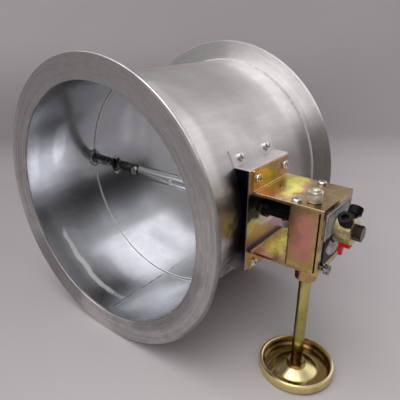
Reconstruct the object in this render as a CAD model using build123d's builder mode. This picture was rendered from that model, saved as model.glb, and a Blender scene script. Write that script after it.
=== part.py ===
import os
from math import acos, asin, cos, degrees, pi, radians, sin, sqrt, tan

from build123d import *

# A manual volume damper for round duct. All lengths are in mm.
# The origin is the centre of the inlet flange's face. +Y runs along the duct, +X along the
# blade shaft to the actuator, +Z up along the handwheel's rod.

# Duct
sheet = 1.2
duct_r = 99.5
duct_len = 175.0
flange_width = 18.0
flange_lip = 0.3
flange_t = 2.0
rim_edge = 0.5
duct_in_r = duct_r - sheet
flange_r = duct_r + flange_width
flange_bore_r = duct_in_r - flange_lip

# Clearances of the running and loose fits, and a length that goes through any wall
run = 0.05
loose = 0.1
seat_gap = 0.3
through = 40.0

# Blade shaft and its bushes. The shaft lies nearer the inlet and a little above the duct's axis.
shaft_lead = 6.0
shaft_y = duct_len / 2 - shaft_lead
shaft_z = 3.0
blade_shaft_r = 6.0
bush_wall = 2.0
bush_lip = 1.5
bush_flange_t = 1.4
boss_wall = 4.0
boss_len = 8.5
boss_floor = 2.0
bush_r = blade_shaft_r + bush_wall
bush_flange_r = bush_r + bush_lip
boss_r = bush_r + boss_wall
boss_end = duct_r + boss_len

# Blade
blade_gap = 0.7
blade_front = 3.0
rib_inner_r = blade_shaft_r + loose
rib_r = rib_inner_r + sheet
rib_start = -30.8
channel_end = rib_start - 1.5
notch_r = bush_flange_r + 0.7
strap_inset = 34.4
strap_x = strap_inset - duct_r
strap_bar = 1.8
strap_leg = 8.9
strap_window = 9.0
strap_nut_flats = 5.5
strap_nut_t = 2.4
blade_bolt_r = 2.0
blade_bolt_flats = 7.0
blade_bolt_head = 2.8
blade_bolt_seat = 4.5
nut_height = 3.2
channel_bolt_x = channel_end - 4.1
rib_bolt_inset = 35.5
rib_bolt_x = duct_r - rib_bolt_inset
blade_rivet_x = 10.2
blade_rivet_r = 1.6

# Pedestal
pedestal_y = 28.5
pedestal_top = 40.3
pedestal_bottom = -42.1
pedestal_stand = 3.8
pedestal_back = duct_r + pedestal_stand
pedestal_x = pedestal_back + sheet
pedestal_fold = 1.8
tab_turn = 7.5
rivet_turn = 2.8
rivet_y = 18.1
rivet_r = 2.0
rivet_head_r = 3.5
rivet_head_t = 1.6
rivet_tail = 1.0
top_turn = degrees(asin(pedestal_top / duct_r))
foot_turn = degrees(asin(pedestal_bottom / duct_r))
rivet_turns = (top_turn + rivet_turn, foot_turn - rivet_turn)

# Yoke
yoke_t = 2.0
yoke_y = 25.7
yoke_reach = 53.7
arm_top = 23.8
arm_bottom = -26.0
foot_inset = 0.5
foot_corner = 2.0
bend_in = 1.2
yoke_x = pedestal_x + yoke_t
yoke_end = yoke_x + yoke_reach
yoke_top = pedestal_top - foot_inset
yoke_foot = pedestal_bottom + foot_inset
yoke_screw_y = 20.0
yoke_screw_z = (yoke_top - 7.0 - shaft_z, yoke_foot + 5.0 - shaft_z)
screw_r = 1.95
screw_head_r = 3.6
screw_head_t = 2.3
screw_crown = 1.6
screw_flats = 7.0
screw_tail = 1.0
end_bolt_y = -18.1
end_bolt_z = arm_bottom + 4.0 - shaft_z
end_bolt_stand = 2.6
end_bolt_head = 3.0

# Gear housing between the arms
housing_depth = 25.1
housing_x = yoke_end - housing_depth
housing_gap = 1.4
housing_end = yoke_end - yoke_t - housing_gap
housing_y = yoke_y - seat_gap
lip = 7.0
housing_screw_x = housing_x + 3.2
housing_screw_y = 21.0
housing_screw_len = 5.4

# Worm and worm wheel
module = 1.0
wheel_teeth = 20
wheel_pitch_r = module * wheel_teeth / 2
worm_pitch_r = 4.5
thread_pitch = pi * module
addendum = module
dedendum = 1.25 * module
pressure = radians(20)
flank_gap = 0.06
face_width = 8.0
wheel_hub_r = 8.0
wheel_hub_len = 6.0
thread_turns = 5.5
centre_distance = wheel_pitch_r + worm_pitch_r
worm_inset = 11.9
worm_x = yoke_end - worm_inset
worm_y = shaft_y - centre_distance

# Drive shaft, dial, hub and pointer
drive_shaft_r = 5.0
tenon_r = 4.0
shaft_joint_x = yoke_x + 1.2
coupling_reach = 11.9
coupling_x = shaft_joint_x + coupling_reach
tenon_end = coupling_x + 7.5
drive_step_x = housing_x - 1.3
pin_r = 1.5
pin_out = 1.4
dial_t = 0.8
dial_width = 40.1
dial_height = 38.4
dial_drop = 3.6
hub_x = yoke_end + dial_t + 0.4
hub_len = 12.4
hub_end = hub_x + hub_len
hub_r = 10.0
hub_edge = 0.8
hub_screw_x = hub_end - 4.7
hub_screw_turns = (50.0, 128.0)
hub_screw_r = 3.0
cap_r = 5.0
cap_t = 6.0
cap_edge = 0.5
cap_seat = hub_r + 2.0
socket_flats = 5.0
socket_depth = 3.2
hub_bolt_r = 3.0
hub_bolt_len = 13.0
hub_bolt_flats = 10.0
hub_bolt_head = 5.6
pointer_turn = -4.0
pointer_t = 2.6
pointer_width = 5.0
pointer_len = 8.2
pointer_tip = 10.5
pointer_inset = 9.4
pointer_x = hub_end - pointer_inset

# Worm shaft, nut and handwheel
rod_r = 4.5
collar_r = worm_pitch_r + addendum
journal_r = 4.0
stud_r = 3.0
rod_boss_r = 8.2
rod_boss_len = 10.8
rod_boss_end = arm_bottom - rod_boss_len
rod_boss_edge = 1.2
spigot_r = 6.5
nut_seat = arm_top + 0.5
nut_t = 7.7
nut_point = 3.0
nut_turn = -8.0
nut_flats = 10.0
dish_low = -122.6
dish_r = 29.4
dish_rim = 8.8
dish_lip = 3.2
dish_curl = 0.9
dish_t = 1.5
dish_rise = 3.8
dish_flat_r = 8.4
dish_cone_r = 17.1
dish_nut_flats = 13.0
lower_nut_t = 3.2
upper_nut_t = 3.6
rod_end_r = 4.0

os.makedirs("parts", exist_ok=True)


def across(x):
    """A plane across the shaft at x, its own x along +Y and its own y along +Z."""
    return Plane(origin=(x, shaft_y, shaft_z), x_dir=(0, 1, 0), z_dir=(1, 0, 0))


def facing(x, y, z):
    """A plane that faces the inlet, its own x along +X and its own y along +Z."""
    return Plane(origin=(x, y, z), x_dir=(1, 0, 0), z_dir=(0, -1, 0))


rod_axis = Axis((worm_x, worm_y, 0), (0, 0, 1))

# Duct

with BuildPart() as duct_barrel:
    with BuildSketch(facing(0, flange_t, 0)):
        Circle(duct_r)
        Circle(duct_in_r, mode=Mode.SUBTRACT)
    extrude(amount=-(duct_len - 2 * flange_t))
    with BuildSketch(across(0)):
        Circle(bush_r)
    extrude(amount=boss_end, both=True, mode=Mode.SUBTRACT)
    with Locations(Location((0, shaft_y, 0))):
        for turn in rivet_turns:
            with Locations(Location((0, 0, 0), (0, -turn, 0))):
                with Locations((duct_r, rivet_y, 0), (duct_r, -rivet_y, 0)):
                    Cylinder(rivet_r, through / 4, rotation=(0, 90, 0), mode=Mode.SUBTRACT)
duct_barrel.part.label = "duct_barrel"
export_step(duct_barrel.part, "parts/duct_barrel.step")

with BuildPart() as inlet_flange:
    with BuildSketch(facing(0, 0, 0)):
        Circle(flange_r)
        Circle(flange_bore_r, mode=Mode.SUBTRACT)
    extrude(amount=-flange_t)
    chamfer(inlet_flange.edges().filter_by(GeomType.CIRCLE).group_by(Axis.Y)[0], rim_edge)
inlet_flange.part.label = "inlet_flange"
export_step(inlet_flange.part, "parts/inlet_flange.step")

with BuildPart() as outlet_flange:
    with BuildSketch(facing(0, duct_len - flange_t, 0)):
        Circle(flange_r)
        Circle(flange_bore_r, mode=Mode.SUBTRACT)
    extrude(amount=-flange_t)
    chamfer(outlet_flange.edges().filter_by(GeomType.CIRCLE).group_by(Axis.Y)[-1], rim_edge)
outlet_flange.part.label = "outlet_flange"
export_step(outlet_flange.part, "parts/outlet_flange.step")

# Shaft bearings in the duct wall

flange_seat = sqrt(duct_in_r**2 - (bush_flange_r + shaft_z) ** 2)

with BuildPart() as far_boss:
    with BuildSketch(across(-boss_end)):
        Circle(boss_r)
    extrude(amount=boss_len + boss_r)
    with BuildSketch(across(-boss_end + boss_floor)):
        Circle(bush_r)
    extrude(amount=through, mode=Mode.SUBTRACT)
    with BuildSketch(facing(0, 0, 0)):
        Circle(duct_r)
    extrude(amount=-duct_len, mode=Mode.SUBTRACT)
    chamfer(far_boss.edges().filter_by(GeomType.CIRCLE).group_by(Axis.X)[0], 0.8)
far_boss.part.label = "far_boss"
export_step(far_boss.part, "parts/far_boss.step")

with BuildPart() as far_bush:
    with BuildSketch(across(-flange_seat)):
        Circle(bush_flange_r)
    extrude(amount=bush_flange_t)
    with BuildSketch(across(-boss_end + boss_floor)):
        Circle(bush_r)
    extrude(amount=boss_end - boss_floor - flange_seat)
    with BuildSketch(across(-boss_end + boss_floor)):
        Circle(blade_shaft_r + run)
    extrude(amount=through, mode=Mode.SUBTRACT)
    chamfer(far_bush.edges().filter_by(GeomType.CIRCLE).group_by(Axis.X)[-1].sort_by(SortBy.RADIUS)[-1], 0.4)
far_bush.part.label = "far_bush"
export_step(far_bush.part, "parts/far_bush.step")

with BuildPart() as near_bush:
    with BuildSketch(across(flange_seat - bush_flange_t)):
        Circle(bush_flange_r)
    extrude(amount=bush_flange_t)
    with BuildSketch(across(flange_seat)):
        Circle(bush_r)
    extrude(amount=yoke_x - flange_seat)
    with BuildSketch(across(flange_seat)):
        Circle(blade_shaft_r + run)
    extrude(amount=through, both=True, mode=Mode.SUBTRACT)
    chamfer(near_bush.edges().filter_by(GeomType.CIRCLE).group_by(Axis.X)[0].sort_by(SortBy.RADIUS)[-1], 0.4)
near_bush.part.label = "near_bush"
export_step(near_bush.part, "parts/near_bush.step")

# Pedestal: a folded saddle that carries the actuator

box_start = duct_r / 2

with BuildPart() as pedestal:
    with BuildSketch(facing(0, shaft_y - pedestal_y, 0)):
        with Locations(((box_start + pedestal_x) / 2, (pedestal_top + pedestal_bottom) / 2)):
            Rectangle(pedestal_x - box_start, pedestal_top - pedestal_bottom)
    extrude(amount=-2 * pedestal_y)
    fillet(pedestal.edges().filter_by(Axis.Y).group_by(Axis.X)[-1], pedestal_fold)
    with BuildSketch(facing(0, shaft_y - pedestal_y + sheet, 0)):
        with Locations(((box_start + pedestal_back) / 2, (pedestal_top + pedestal_bottom) / 2)):
            Rectangle(pedestal_back - box_start, pedestal_top - pedestal_bottom - 2 * sheet)
    extrude(amount=-2 * (pedestal_y - sheet), mode=Mode.SUBTRACT)
    for start, sweep_turn in ((top_turn - 0.4, tab_turn), (foot_turn + 0.4, -tab_turn)):
        with BuildSketch(facing(0, shaft_y - pedestal_y, 0)):
            with BuildLine():
                inner = CenterArc((0, 0), duct_r - 0.5, start, sweep_turn)
                outer = CenterArc((0, 0), duct_r + sheet, start, sweep_turn)
                Line(inner @ 0, outer @ 0)
                Line(inner @ 1, outer @ 1)
            make_face()
        extrude(amount=-2 * pedestal_y)
    with BuildSketch(facing(0, 0, 0)):
        Circle(duct_r)
    extrude(amount=-duct_len, mode=Mode.SUBTRACT)
    with BuildSketch(across(pedestal_back - sheet)):
        Circle(bush_r)
        for z in yoke_screw_z:
            with Locations((yoke_screw_y, z), (-yoke_screw_y, z)):
                Circle(screw_r + loose)
    extrude(amount=3 * sheet, mode=Mode.SUBTRACT)
    with Locations(Location((0, shaft_y, 0))):
        for turn in rivet_turns:
            with Locations(Location((0, 0, 0), (0, -turn, 0))):
                with Locations((duct_r, rivet_y, 0), (duct_r, -rivet_y, 0)):
                    Cylinder(rivet_r, through / 4, rotation=(0, 90, 0), mode=Mode.SUBTRACT)
pedestal.part.label = "pedestal"
export_step(pedestal.part, "parts/pedestal.step")

with BuildPart() as pedestal_rivets:
    with Locations(Location((0, shaft_y, 0))):
        for turn in rivet_turns:
            with Locations(Location((0, 0, 0), (0, -turn, 0))):
                with Locations((0, rivet_y, 0), (0, -rivet_y, 0)):
                    with Locations((duct_in_r - rivet_tail, 0, 0)):
                        Cylinder(
                            rivet_r,
                            2 * sheet + 2 * rivet_tail,
                            rotation=(0, 90, 0),
                            align=(Align.CENTER, Align.CENTER, Align.MIN),
                        )
                        Cylinder(
                            rivet_r + rivet_tail,
                            rivet_tail - seat_gap / 2,
                            rotation=(0, 90, 0),
                            align=(Align.CENTER, Align.CENTER, Align.MIN),
                        )
                    with Locations((duct_r + sheet + 0.02, 0, 0)):
                        Cylinder(
                            rivet_head_r,
                            rivet_head_t,
                            rotation=(0, 90, 0),
                            align=(Align.CENTER, Align.CENTER, Align.MIN),
                        )
pedestal_rivets.part.label = "pedestal_rivets"
export_step(pedestal_rivets.part, "parts/pedestal_rivets.step")

# Yoke: one bent strip with two arms and two screwed feet

with BuildPart() as yoke:
    with BuildSketch(facing(0, shaft_y - yoke_y, 0)) as yoke_section:
        with BuildLine():
            Polyline(
                (yoke_x, yoke_top),
                (yoke_x, arm_top),
                (yoke_end, arm_top),
                (yoke_end, arm_bottom),
                (yoke_x, arm_bottom),
                (yoke_x, yoke_foot),
                (pedestal_x, yoke_foot),
                (pedestal_x, arm_bottom + yoke_t),
                (yoke_end - yoke_t, arm_bottom + yoke_t),
                (yoke_end - yoke_t, arm_top - yoke_t),
                (pedestal_x, arm_top - yoke_t),
                (pedestal_x, yoke_top),
                close=True,
            )
        make_face()
        corners = yoke_section.vertices()
        tight = [
            v
            for v in corners
            if (abs(v.X - yoke_x) < 0.1 and arm_bottom - 1 < v.Y < arm_top + 1)
            or abs(v.X - yoke_end + yoke_t) < 0.1
        ]
        wide = [
            v
            for v in corners
            if (abs(v.X - pedestal_x) < 0.1 and arm_bottom - 1 < v.Y < arm_top + 1)
            or abs(v.X - yoke_end) < 0.1
        ]
        fillet(tight, bend_in)
        fillet(wide, bend_in + yoke_t)
    extrude(amount=-2 * yoke_y)
    feet = yoke.edges().filter_by(Axis.X).filter_by_position(Axis.Z, yoke_top - 0.1, yoke_top + 0.1)
    fillet(feet, foot_corner)
    feet = yoke.edges().filter_by(Axis.X).filter_by_position(Axis.Z, yoke_foot - 0.1, yoke_foot + 0.1)
    fillet(feet, foot_corner)
    with BuildSketch(across(pedestal_x - 1)):
        for z in yoke_screw_z:
            with Locations((yoke_screw_y, z), (-yoke_screw_y, z)):
                Circle(screw_r + loose)
    extrude(amount=yoke_t + 2, mode=Mode.SUBTRACT)
    with BuildSketch(across(yoke_end - yoke_t - 1)):
        Circle(drive_shaft_r + bush_wall)
        with Locations((end_bolt_y, end_bolt_z)):
            Circle(screw_r)
    extrude(amount=yoke_t + 2, mode=Mode.SUBTRACT)
    with BuildSketch(Plane.XY.offset(arm_top - yoke_t - 1)):
        with Locations((worm_x, worm_y)):
            Circle(journal_r + run)
        with Locations(
            (housing_screw_x, shaft_y - housing_screw_y), (housing_screw_x, shaft_y + housing_screw_y)
        ):
            Circle(screw_r + loose)
    extrude(amount=yoke_t + 2, mode=Mode.SUBTRACT)
    with BuildSketch(Plane.XY.offset(arm_bottom - 1)):
        with Locations((worm_x, worm_y)):
            Circle(spigot_r)
        with Locations(
            (housing_screw_x, shaft_y - housing_screw_y), (housing_screw_x, shaft_y + housing_screw_y)
        ):
            Circle(screw_r + loose)
    extrude(amount=yoke_t + 2, mode=Mode.SUBTRACT)
yoke.part.label = "yoke"
export_step(yoke.part, "parts/yoke.step")

with BuildPart() as yoke_screws:
    with BuildSketch(across(pedestal_back - nut_height - screw_tail)):
        for z in yoke_screw_z:
            with Locations((yoke_screw_y, z), (-yoke_screw_y, z)):
                Circle(screw_r)
    extrude(amount=yoke_x - pedestal_back + nut_height + screw_tail)
    with BuildSketch(across(yoke_x)):
        for z in yoke_screw_z:
            with Locations((yoke_screw_y, z), (-yoke_screw_y, z)):
                Circle(screw_head_r)
    extrude(amount=screw_head_t)
    fillet(yoke_screws.edges().filter_by(GeomType.CIRCLE).group_by(Axis.X)[-1], screw_crown)
yoke_screws.part.label = "yoke_screws"
export_step(yoke_screws.part, "parts/yoke_screws.step")

with BuildPart() as yoke_nuts:
    with BuildSketch(across(pedestal_back - nut_height)):
        for z in yoke_screw_z:
            with Locations((yoke_screw_y, z), (-yoke_screw_y, z)):
                RegularPolygon(screw_flats / 2, 6, major_radius=False)
                Circle(screw_r, mode=Mode.SUBTRACT)
    extrude(amount=nut_height)
yoke_nuts.part.label = "yoke_nuts"
export_step(yoke_nuts.part, "parts/yoke_nuts.step")

# Gear housing: a folded box between the arms, open towards the end plate

housing_top = arm_top - yoke_t
housing_foot = arm_bottom + yoke_t

with BuildPart() as gear_housing:
    with BuildSketch(Plane.XY.offset(housing_foot)) as housing_plan:
        with BuildLine():
            Polyline(
                (housing_end, shaft_y - housing_y),
                (housing_x, shaft_y - housing_y),
                (housing_x, shaft_y + housing_y),
                (housing_end, shaft_y + housing_y),
                (housing_end, shaft_y + housing_y - sheet),
                (housing_x + sheet, shaft_y + housing_y - sheet),
                (housing_x + sheet, shaft_y - housing_y + sheet),
                (housing_end, shaft_y - housing_y + sheet),
                close=True,
            )
        make_face()
        folds = [v for v in housing_plan.vertices() if abs(v.X - housing_x) < 0.1]
        fillet(folds, pedestal_fold)
    extrude(amount=housing_top - housing_foot)
    for z in (housing_foot, housing_top - sheet):
        with BuildSketch(Plane.XY.offset(z)):
            with Locations((housing_x + sheet / 2 + lip / 2, shaft_y)):
                Rectangle(lip, 2 * (housing_y - sheet - 0.4))
            with Locations(
                (housing_screw_x, shaft_y - housing_screw_y), (housing_screw_x, shaft_y + housing_screw_y)
            ):
                Circle(screw_r, mode=Mode.SUBTRACT)
        extrude(amount=sheet)
    with BuildSketch(across(housing_x - 1)):
        Circle(blade_shaft_r + 0.5)
    extrude(amount=4, mode=Mode.SUBTRACT)
gear_housing.part.label = "gear_housing"
export_step(gear_housing.part, "parts/gear_housing.step")

housing_screw_spots = (
    (housing_screw_x, shaft_y - housing_screw_y),
    (housing_screw_x, shaft_y + housing_screw_y),
)

with BuildPart() as housing_screws:
    with BuildSketch(Plane.XY.offset(arm_top - housing_screw_len)):
        with Locations(*housing_screw_spots):
            Circle(screw_r)
    extrude(amount=housing_screw_len)
    with BuildSketch(Plane.XY.offset(arm_top)):
        with Locations(*housing_screw_spots):
            Circle(screw_head_r)
    extrude(amount=screw_head_t)
    fillet(housing_screws.edges().filter_by(GeomType.CIRCLE).group_by(Axis.Z)[-1], screw_crown)
    with BuildSketch(Plane.XY.offset(arm_bottom)):
        with Locations(*housing_screw_spots):
            Circle(screw_r)
    extrude(amount=housing_screw_len)
    with BuildSketch(Plane.XY.offset(arm_bottom - screw_head_t)):
        with Locations(*housing_screw_spots):
            Circle(screw_head_r)
    extrude(amount=screw_head_t)
    fillet(housing_screws.edges().filter_by(GeomType.CIRCLE).group_by(Axis.Z)[0], screw_crown)
housing_screws.part.label = "housing_screws"
export_step(housing_screws.part, "parts/housing_screws.step")

with BuildPart() as end_bush:
    with BuildSketch(across(yoke_end - yoke_t - bush_flange_t)):
        Circle(drive_shaft_r + bush_wall + bush_lip)
    extrude(amount=bush_flange_t)
    with BuildSketch(across(yoke_end - yoke_t)):
        Circle(drive_shaft_r + bush_wall)
    extrude(amount=yoke_t + dial_t)
    with BuildSketch(across(yoke_end)):
        Circle(drive_shaft_r + run)
    extrude(amount=through, both=True, mode=Mode.SUBTRACT)
end_bush.part.label = "end_bush"
export_step(end_bush.part, "parts/end_bush.step")

with BuildPart() as dial_plate:
    with BuildSketch(across(yoke_end)):
        with Locations((0, -dial_drop)):
            RectangleRounded(dial_width, dial_height, 1.0)
        Circle(drive_shaft_r + bush_wall + loose, mode=Mode.SUBTRACT)
    extrude(amount=dial_t)
dial_plate.part.label = "dial_plate"
export_step(dial_plate.part, "parts/dial_plate.step")

with BuildPart() as end_plate_bolt:
    with BuildSketch(across(yoke_end - yoke_t - nut_height)):
        with Locations((end_bolt_y, end_bolt_z)):
            Circle(screw_r)
    extrude(amount=nut_height + yoke_t + end_bolt_stand)
    with BuildSketch(across(yoke_end + end_bolt_stand)):
        with Locations((end_bolt_y, end_bolt_z)):
            RegularPolygon(screw_flats / 2, 6, major_radius=False, rotation=30)
    extrude(amount=end_bolt_head)
end_plate_bolt.part.label = "end_plate_bolt"
export_step(end_plate_bolt.part, "parts/end_plate_bolt.step")

with BuildPart() as rod_boss:
    with BuildSketch(Plane.XY.offset(rod_boss_end)):
        with Locations((worm_x, worm_y)):
            Circle(rod_boss_r)
    extrude(amount=arm_bottom - rod_boss_end)
    chamfer(rod_boss.edges().filter_by(GeomType.CIRCLE).group_by(Axis.Z)[0], rod_boss_edge)
    with BuildSketch(Plane.XY.offset(arm_bottom)):
        with Locations((worm_x, worm_y)):
            Circle(spigot_r)
    extrude(amount=yoke_t)
    with BuildSketch(Plane.XY.offset(rod_boss_end - 1)):
        with Locations((worm_x, worm_y)):
            Circle(rod_r + run)
    extrude(amount=through, mode=Mode.SUBTRACT)
rod_boss.part.label = "rod_boss"
export_step(rod_boss.part, "parts/rod_boss.step")

# Blade: a disc with a front rib and a rear channel that hold the shaft between them

blade_r = duct_in_r - blade_gap
blade_back = -blade_front + sheet

with BuildPart() as blade_disc:
    with BuildSketch(facing(0, shaft_y - blade_front, 0)):
        Circle(blade_r)
    extrude(amount=-sheet)
    with BuildSketch(across(-blade_r)):
        Circle(rib_r)
        with Locations((through / 2 - blade_front, 0)):
            Rectangle(through, through, mode=Mode.INTERSECT)
    extrude(amount=blade_r + channel_end)
    with BuildSketch(across(rib_start)):
        Circle(rib_r)
        with Locations((-through / 2 + blade_back, 0)):
            Rectangle(through, through, mode=Mode.INTERSECT)
    extrude(amount=blade_r - rib_start)
    with BuildSketch(across(-duct_r)):
        Circle(rib_inner_r)
    extrude(amount=2 * duct_r, mode=Mode.SUBTRACT)
    for x in (-duct_r, flange_seat - bush_flange_t - 0.6):
        with BuildSketch(across(x)):
            Circle(notch_r)
        extrude(amount=duct_r - flange_seat + bush_flange_t + 0.6, mode=Mode.SUBTRACT)
    with BuildSketch(across(strap_x - strap_window / 2)):
        with Locations((through / 2 + blade_back, 0)):
            Rectangle(through, through)
    extrude(amount=strap_window, mode=Mode.SUBTRACT)
    with BuildSketch(facing(0, shaft_y, shaft_z)):
        with Locations((strap_x, strap_leg), (strap_x, -strap_leg)):
            Circle(strap_bar / 2 + loose)
        with Locations((channel_bolt_x, 0), (rib_bolt_x, 0)):
            Circle(blade_bolt_r + loose)
        with Locations((blade_rivet_x, 0)):
            Circle(blade_rivet_r + loose)
    extrude(amount=through, both=True, mode=Mode.SUBTRACT)
blade_disc.part.label = "blade_disc"
export_step(blade_disc.part, "parts/blade_disc.step")

# The strap's bow touches the shaft at its crest and stands on the disc's front face.
bow_crest = blade_shaft_r + strap_bar / 2
bow_centre = (strap_leg**2 + blade_front**2 - bow_crest**2) / (2 * (bow_crest - blade_front))
bow_r = bow_crest + bow_centre

with BuildPart() as shaft_strap:
    with BuildSketch(across(strap_x - strap_bar / 2)):
        with Locations((bow_centre, 0)):
            Circle(bow_r + strap_bar / 2)
            Circle(bow_r - strap_bar / 2, mode=Mode.SUBTRACT)
        with Locations((-through / 2 - blade_front, 0)):
            Rectangle(through, 2 * through, mode=Mode.INTERSECT)
    extrude(amount=strap_bar)
    with BuildSketch(facing(strap_x, shaft_y - blade_front, shaft_z)):
        with Locations((0, strap_leg), (0, -strap_leg)):
            Circle(strap_bar / 2)
    extrude(amount=-(sheet + strap_nut_t + strap_bar / 2))
shaft_strap.part.label = "shaft_strap"
export_step(shaft_strap.part, "parts/shaft_strap.step")

with BuildPart() as strap_nuts:
    with BuildSketch(facing(strap_x, shaft_y + blade_back, shaft_z)):
        with Locations((0, strap_leg), (0, -strap_leg)):
            RegularPolygon(strap_nut_flats / 2, 6, major_radius=False)
            Circle(strap_bar / 2, mode=Mode.SUBTRACT)
    extrude(amount=-strap_nut_t)
strap_nuts.part.label = "strap_nuts"
export_step(strap_nuts.part, "parts/strap_nuts.step")

# One bolt stands on a flat of the bare shaft and holds the channel, the other stands on the rib.
bolt_seats = ((channel_bolt_x, -blade_bolt_seat, rib_r), (rib_bolt_x, -rib_r, blade_shaft_r))

with BuildPart() as blade_bolts:
    for x, head_seat, nut_face in bolt_seats:
        with BuildSketch(facing(x, shaft_y + head_seat, shaft_z)):
            RegularPolygon(blade_bolt_flats / 2, 6, major_radius=False, rotation=30)
        extrude(amount=blade_bolt_head)
        with BuildSketch(facing(x, shaft_y + head_seat, shaft_z)):
            Circle(blade_bolt_r)
        extrude(amount=-(nut_face - head_seat + nut_height + screw_tail))
blade_bolts.part.label = "blade_bolts"
export_step(blade_bolts.part, "parts/blade_bolts.step")

with BuildPart() as blade_bolt_nuts:
    for x, head_seat, nut_face in bolt_seats:
        with BuildSketch(facing(x, shaft_y + nut_face, shaft_z)):
            RegularPolygon(blade_bolt_flats / 2, 6, major_radius=False)
            Circle(blade_bolt_r, mode=Mode.SUBTRACT)
        extrude(amount=-nut_height)
blade_bolt_nuts.part.label = "blade_bolt_nuts"
export_step(blade_bolt_nuts.part, "parts/blade_bolt_nuts.step")

with BuildPart() as blade_rivet:
    with BuildSketch(facing(blade_rivet_x, shaft_y - rib_r, shaft_z)):
        Circle(blade_rivet_r + 1.2)
    extrude(amount=1.2)
    fillet(blade_rivet.edges().filter_by(GeomType.CIRCLE).group_by(Axis.Y)[0], 0.9)
    with BuildSketch(facing(blade_rivet_x, shaft_y - rib_r, shaft_z)):
        Circle(blade_rivet_r)
    extrude(amount=-(rib_r + blade_shaft_r))
    with BuildSketch(facing(blade_rivet_x, shaft_y + blade_shaft_r, shaft_z)):
        Circle(blade_rivet_r + 1.2)
    extrude(amount=-1.2)
blade_rivet.part.label = "blade_rivet"
export_step(blade_rivet.part, "parts/blade_rivet.step")

with BuildPart() as blade_shaft:
    with BuildSketch(across(-boss_end + boss_floor + seat_gap)):
        Circle(blade_shaft_r)
    extrude(amount=shaft_joint_x + boss_end - boss_floor - seat_gap)
    with BuildSketch(across(shaft_joint_x)):
        Circle(tenon_r)
    extrude(amount=tenon_end - shaft_joint_x)
    with BuildSketch(facing(0, shaft_y, shaft_z)):
        with Locations((channel_bolt_x, 0), (rib_bolt_x, 0)):
            Circle(blade_bolt_r + loose)
        with Locations((blade_rivet_x, 0)):
            Circle(blade_rivet_r + loose)
    extrude(amount=through, both=True, mode=Mode.SUBTRACT)
    with BuildSketch(facing(channel_bolt_x, shaft_y - blade_bolt_seat, shaft_z)):
        Circle(blade_bolt_flats / 2 + 1.0)
    extrude(amount=blade_shaft_r, mode=Mode.SUBTRACT)
    with BuildSketch(Plane.XY.offset(shaft_z)):
        with Locations((coupling_x, shaft_y)):
            Circle(pin_r)
    extrude(amount=through, both=True, mode=Mode.SUBTRACT)
blade_shaft.part.label = "blade_shaft"
export_step(blade_shaft.part, "parts/blade_shaft.step")

# Drive shaft, worm wheel, hub and pointer

wheel_pin_x = worm_x - face_width / 2 - wheel_hub_len / 2

with BuildPart() as drive_shaft:
    with BuildSketch(across(shaft_joint_x)):
        Circle(blade_shaft_r)
    extrude(amount=drive_step_x - shaft_joint_x)
    with BuildSketch(across(drive_step_x)):
        Circle(drive_shaft_r)
    extrude(amount=hub_end - seat_gap - drive_step_x)
    with BuildSketch(across(shaft_joint_x)):
        Circle(tenon_r)
    extrude(amount=tenon_end + seat_gap - shaft_joint_x, mode=Mode.SUBTRACT)
    with BuildSketch(across(hub_end - hub_bolt_len - 2)):
        Circle(hub_bolt_r)
    extrude(amount=through, mode=Mode.SUBTRACT)
    with BuildSketch(Plane.XY.offset(shaft_z)):
        with Locations((coupling_x, shaft_y), (wheel_pin_x, shaft_y)):
            Circle(pin_r)
    extrude(amount=through, both=True, mode=Mode.SUBTRACT)
drive_shaft.part.label = "drive_shaft"
export_step(drive_shaft.part, "parts/drive_shaft.step")

with BuildPart() as coupling_pin:
    with BuildSketch(Plane.XY.offset(shaft_z)):
        with Locations((coupling_x, shaft_y)):
            Circle(pin_r)
    extrude(amount=blade_shaft_r + pin_out, both=True)
coupling_pin.part.label = "coupling_pin"
export_step(coupling_pin.part, "parts/coupling_pin.step")

base_r = wheel_pitch_r * cos(pressure)
tooth_half = (thread_pitch / 4 - flank_gap) / wheel_pitch_r
involute_at_pitch = tan(pressure) - pressure
tip_r = wheel_pitch_r + addendum
root_r = wheel_pitch_r - dedendum
flank_radii = (root_r, base_r, (base_r + tip_r) / 2, tip_r)


def half_angle(r):
    """Half the angle of a tooth at radius r, on an involute flank."""
    slope = acos(min(1.0, base_r / r))
    return tooth_half + involute_at_pitch - (tan(slope) - slope)


def wheel_outline(turn):
    """Corner points of the wheel's section, turned by an angle in radians."""
    points = []
    for tooth in range(wheel_teeth):
        middle = pi + turn + 2 * pi * tooth / wheel_teeth
        rising = [(r, middle - half_angle(r)) for r in flank_radii]
        falling = [(r, middle + half_angle(r)) for r in reversed(flank_radii)]
        points += [(r * cos(a), r * sin(a)) for r, a in rising + falling]
    return points


# The teeth follow the thread's slope, so each end of the wheel is turned a little about the shaft.
thread_slope = thread_pitch / (2 * pi * worm_pitch_r)
end_turn = thread_slope * face_width / 2 / wheel_pitch_r

with BuildPart() as worm_wheel:
    for side in (-1, 1):
        with BuildSketch(across(worm_x + side * face_width / 2)):
            with BuildLine():
                Polyline(*wheel_outline(side * end_turn), close=True)
            make_face()
    loft(ruled=True)
    with BuildSketch(across(worm_x - face_width / 2 - wheel_hub_len)):
        Circle(wheel_hub_r)
    extrude(amount=wheel_hub_len)
    with BuildSketch(across(worm_x)):
        Circle(drive_shaft_r)
    extrude(amount=through, both=True, mode=Mode.SUBTRACT)
    with BuildSketch(Plane.XY.offset(shaft_z)):
        with Locations((wheel_pin_x, shaft_y)):
            Circle(pin_r)
    extrude(amount=through, both=True, mode=Mode.SUBTRACT)
worm_wheel.part.label = "worm_wheel"
export_step(worm_wheel.part, "parts/worm_wheel.step")

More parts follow.
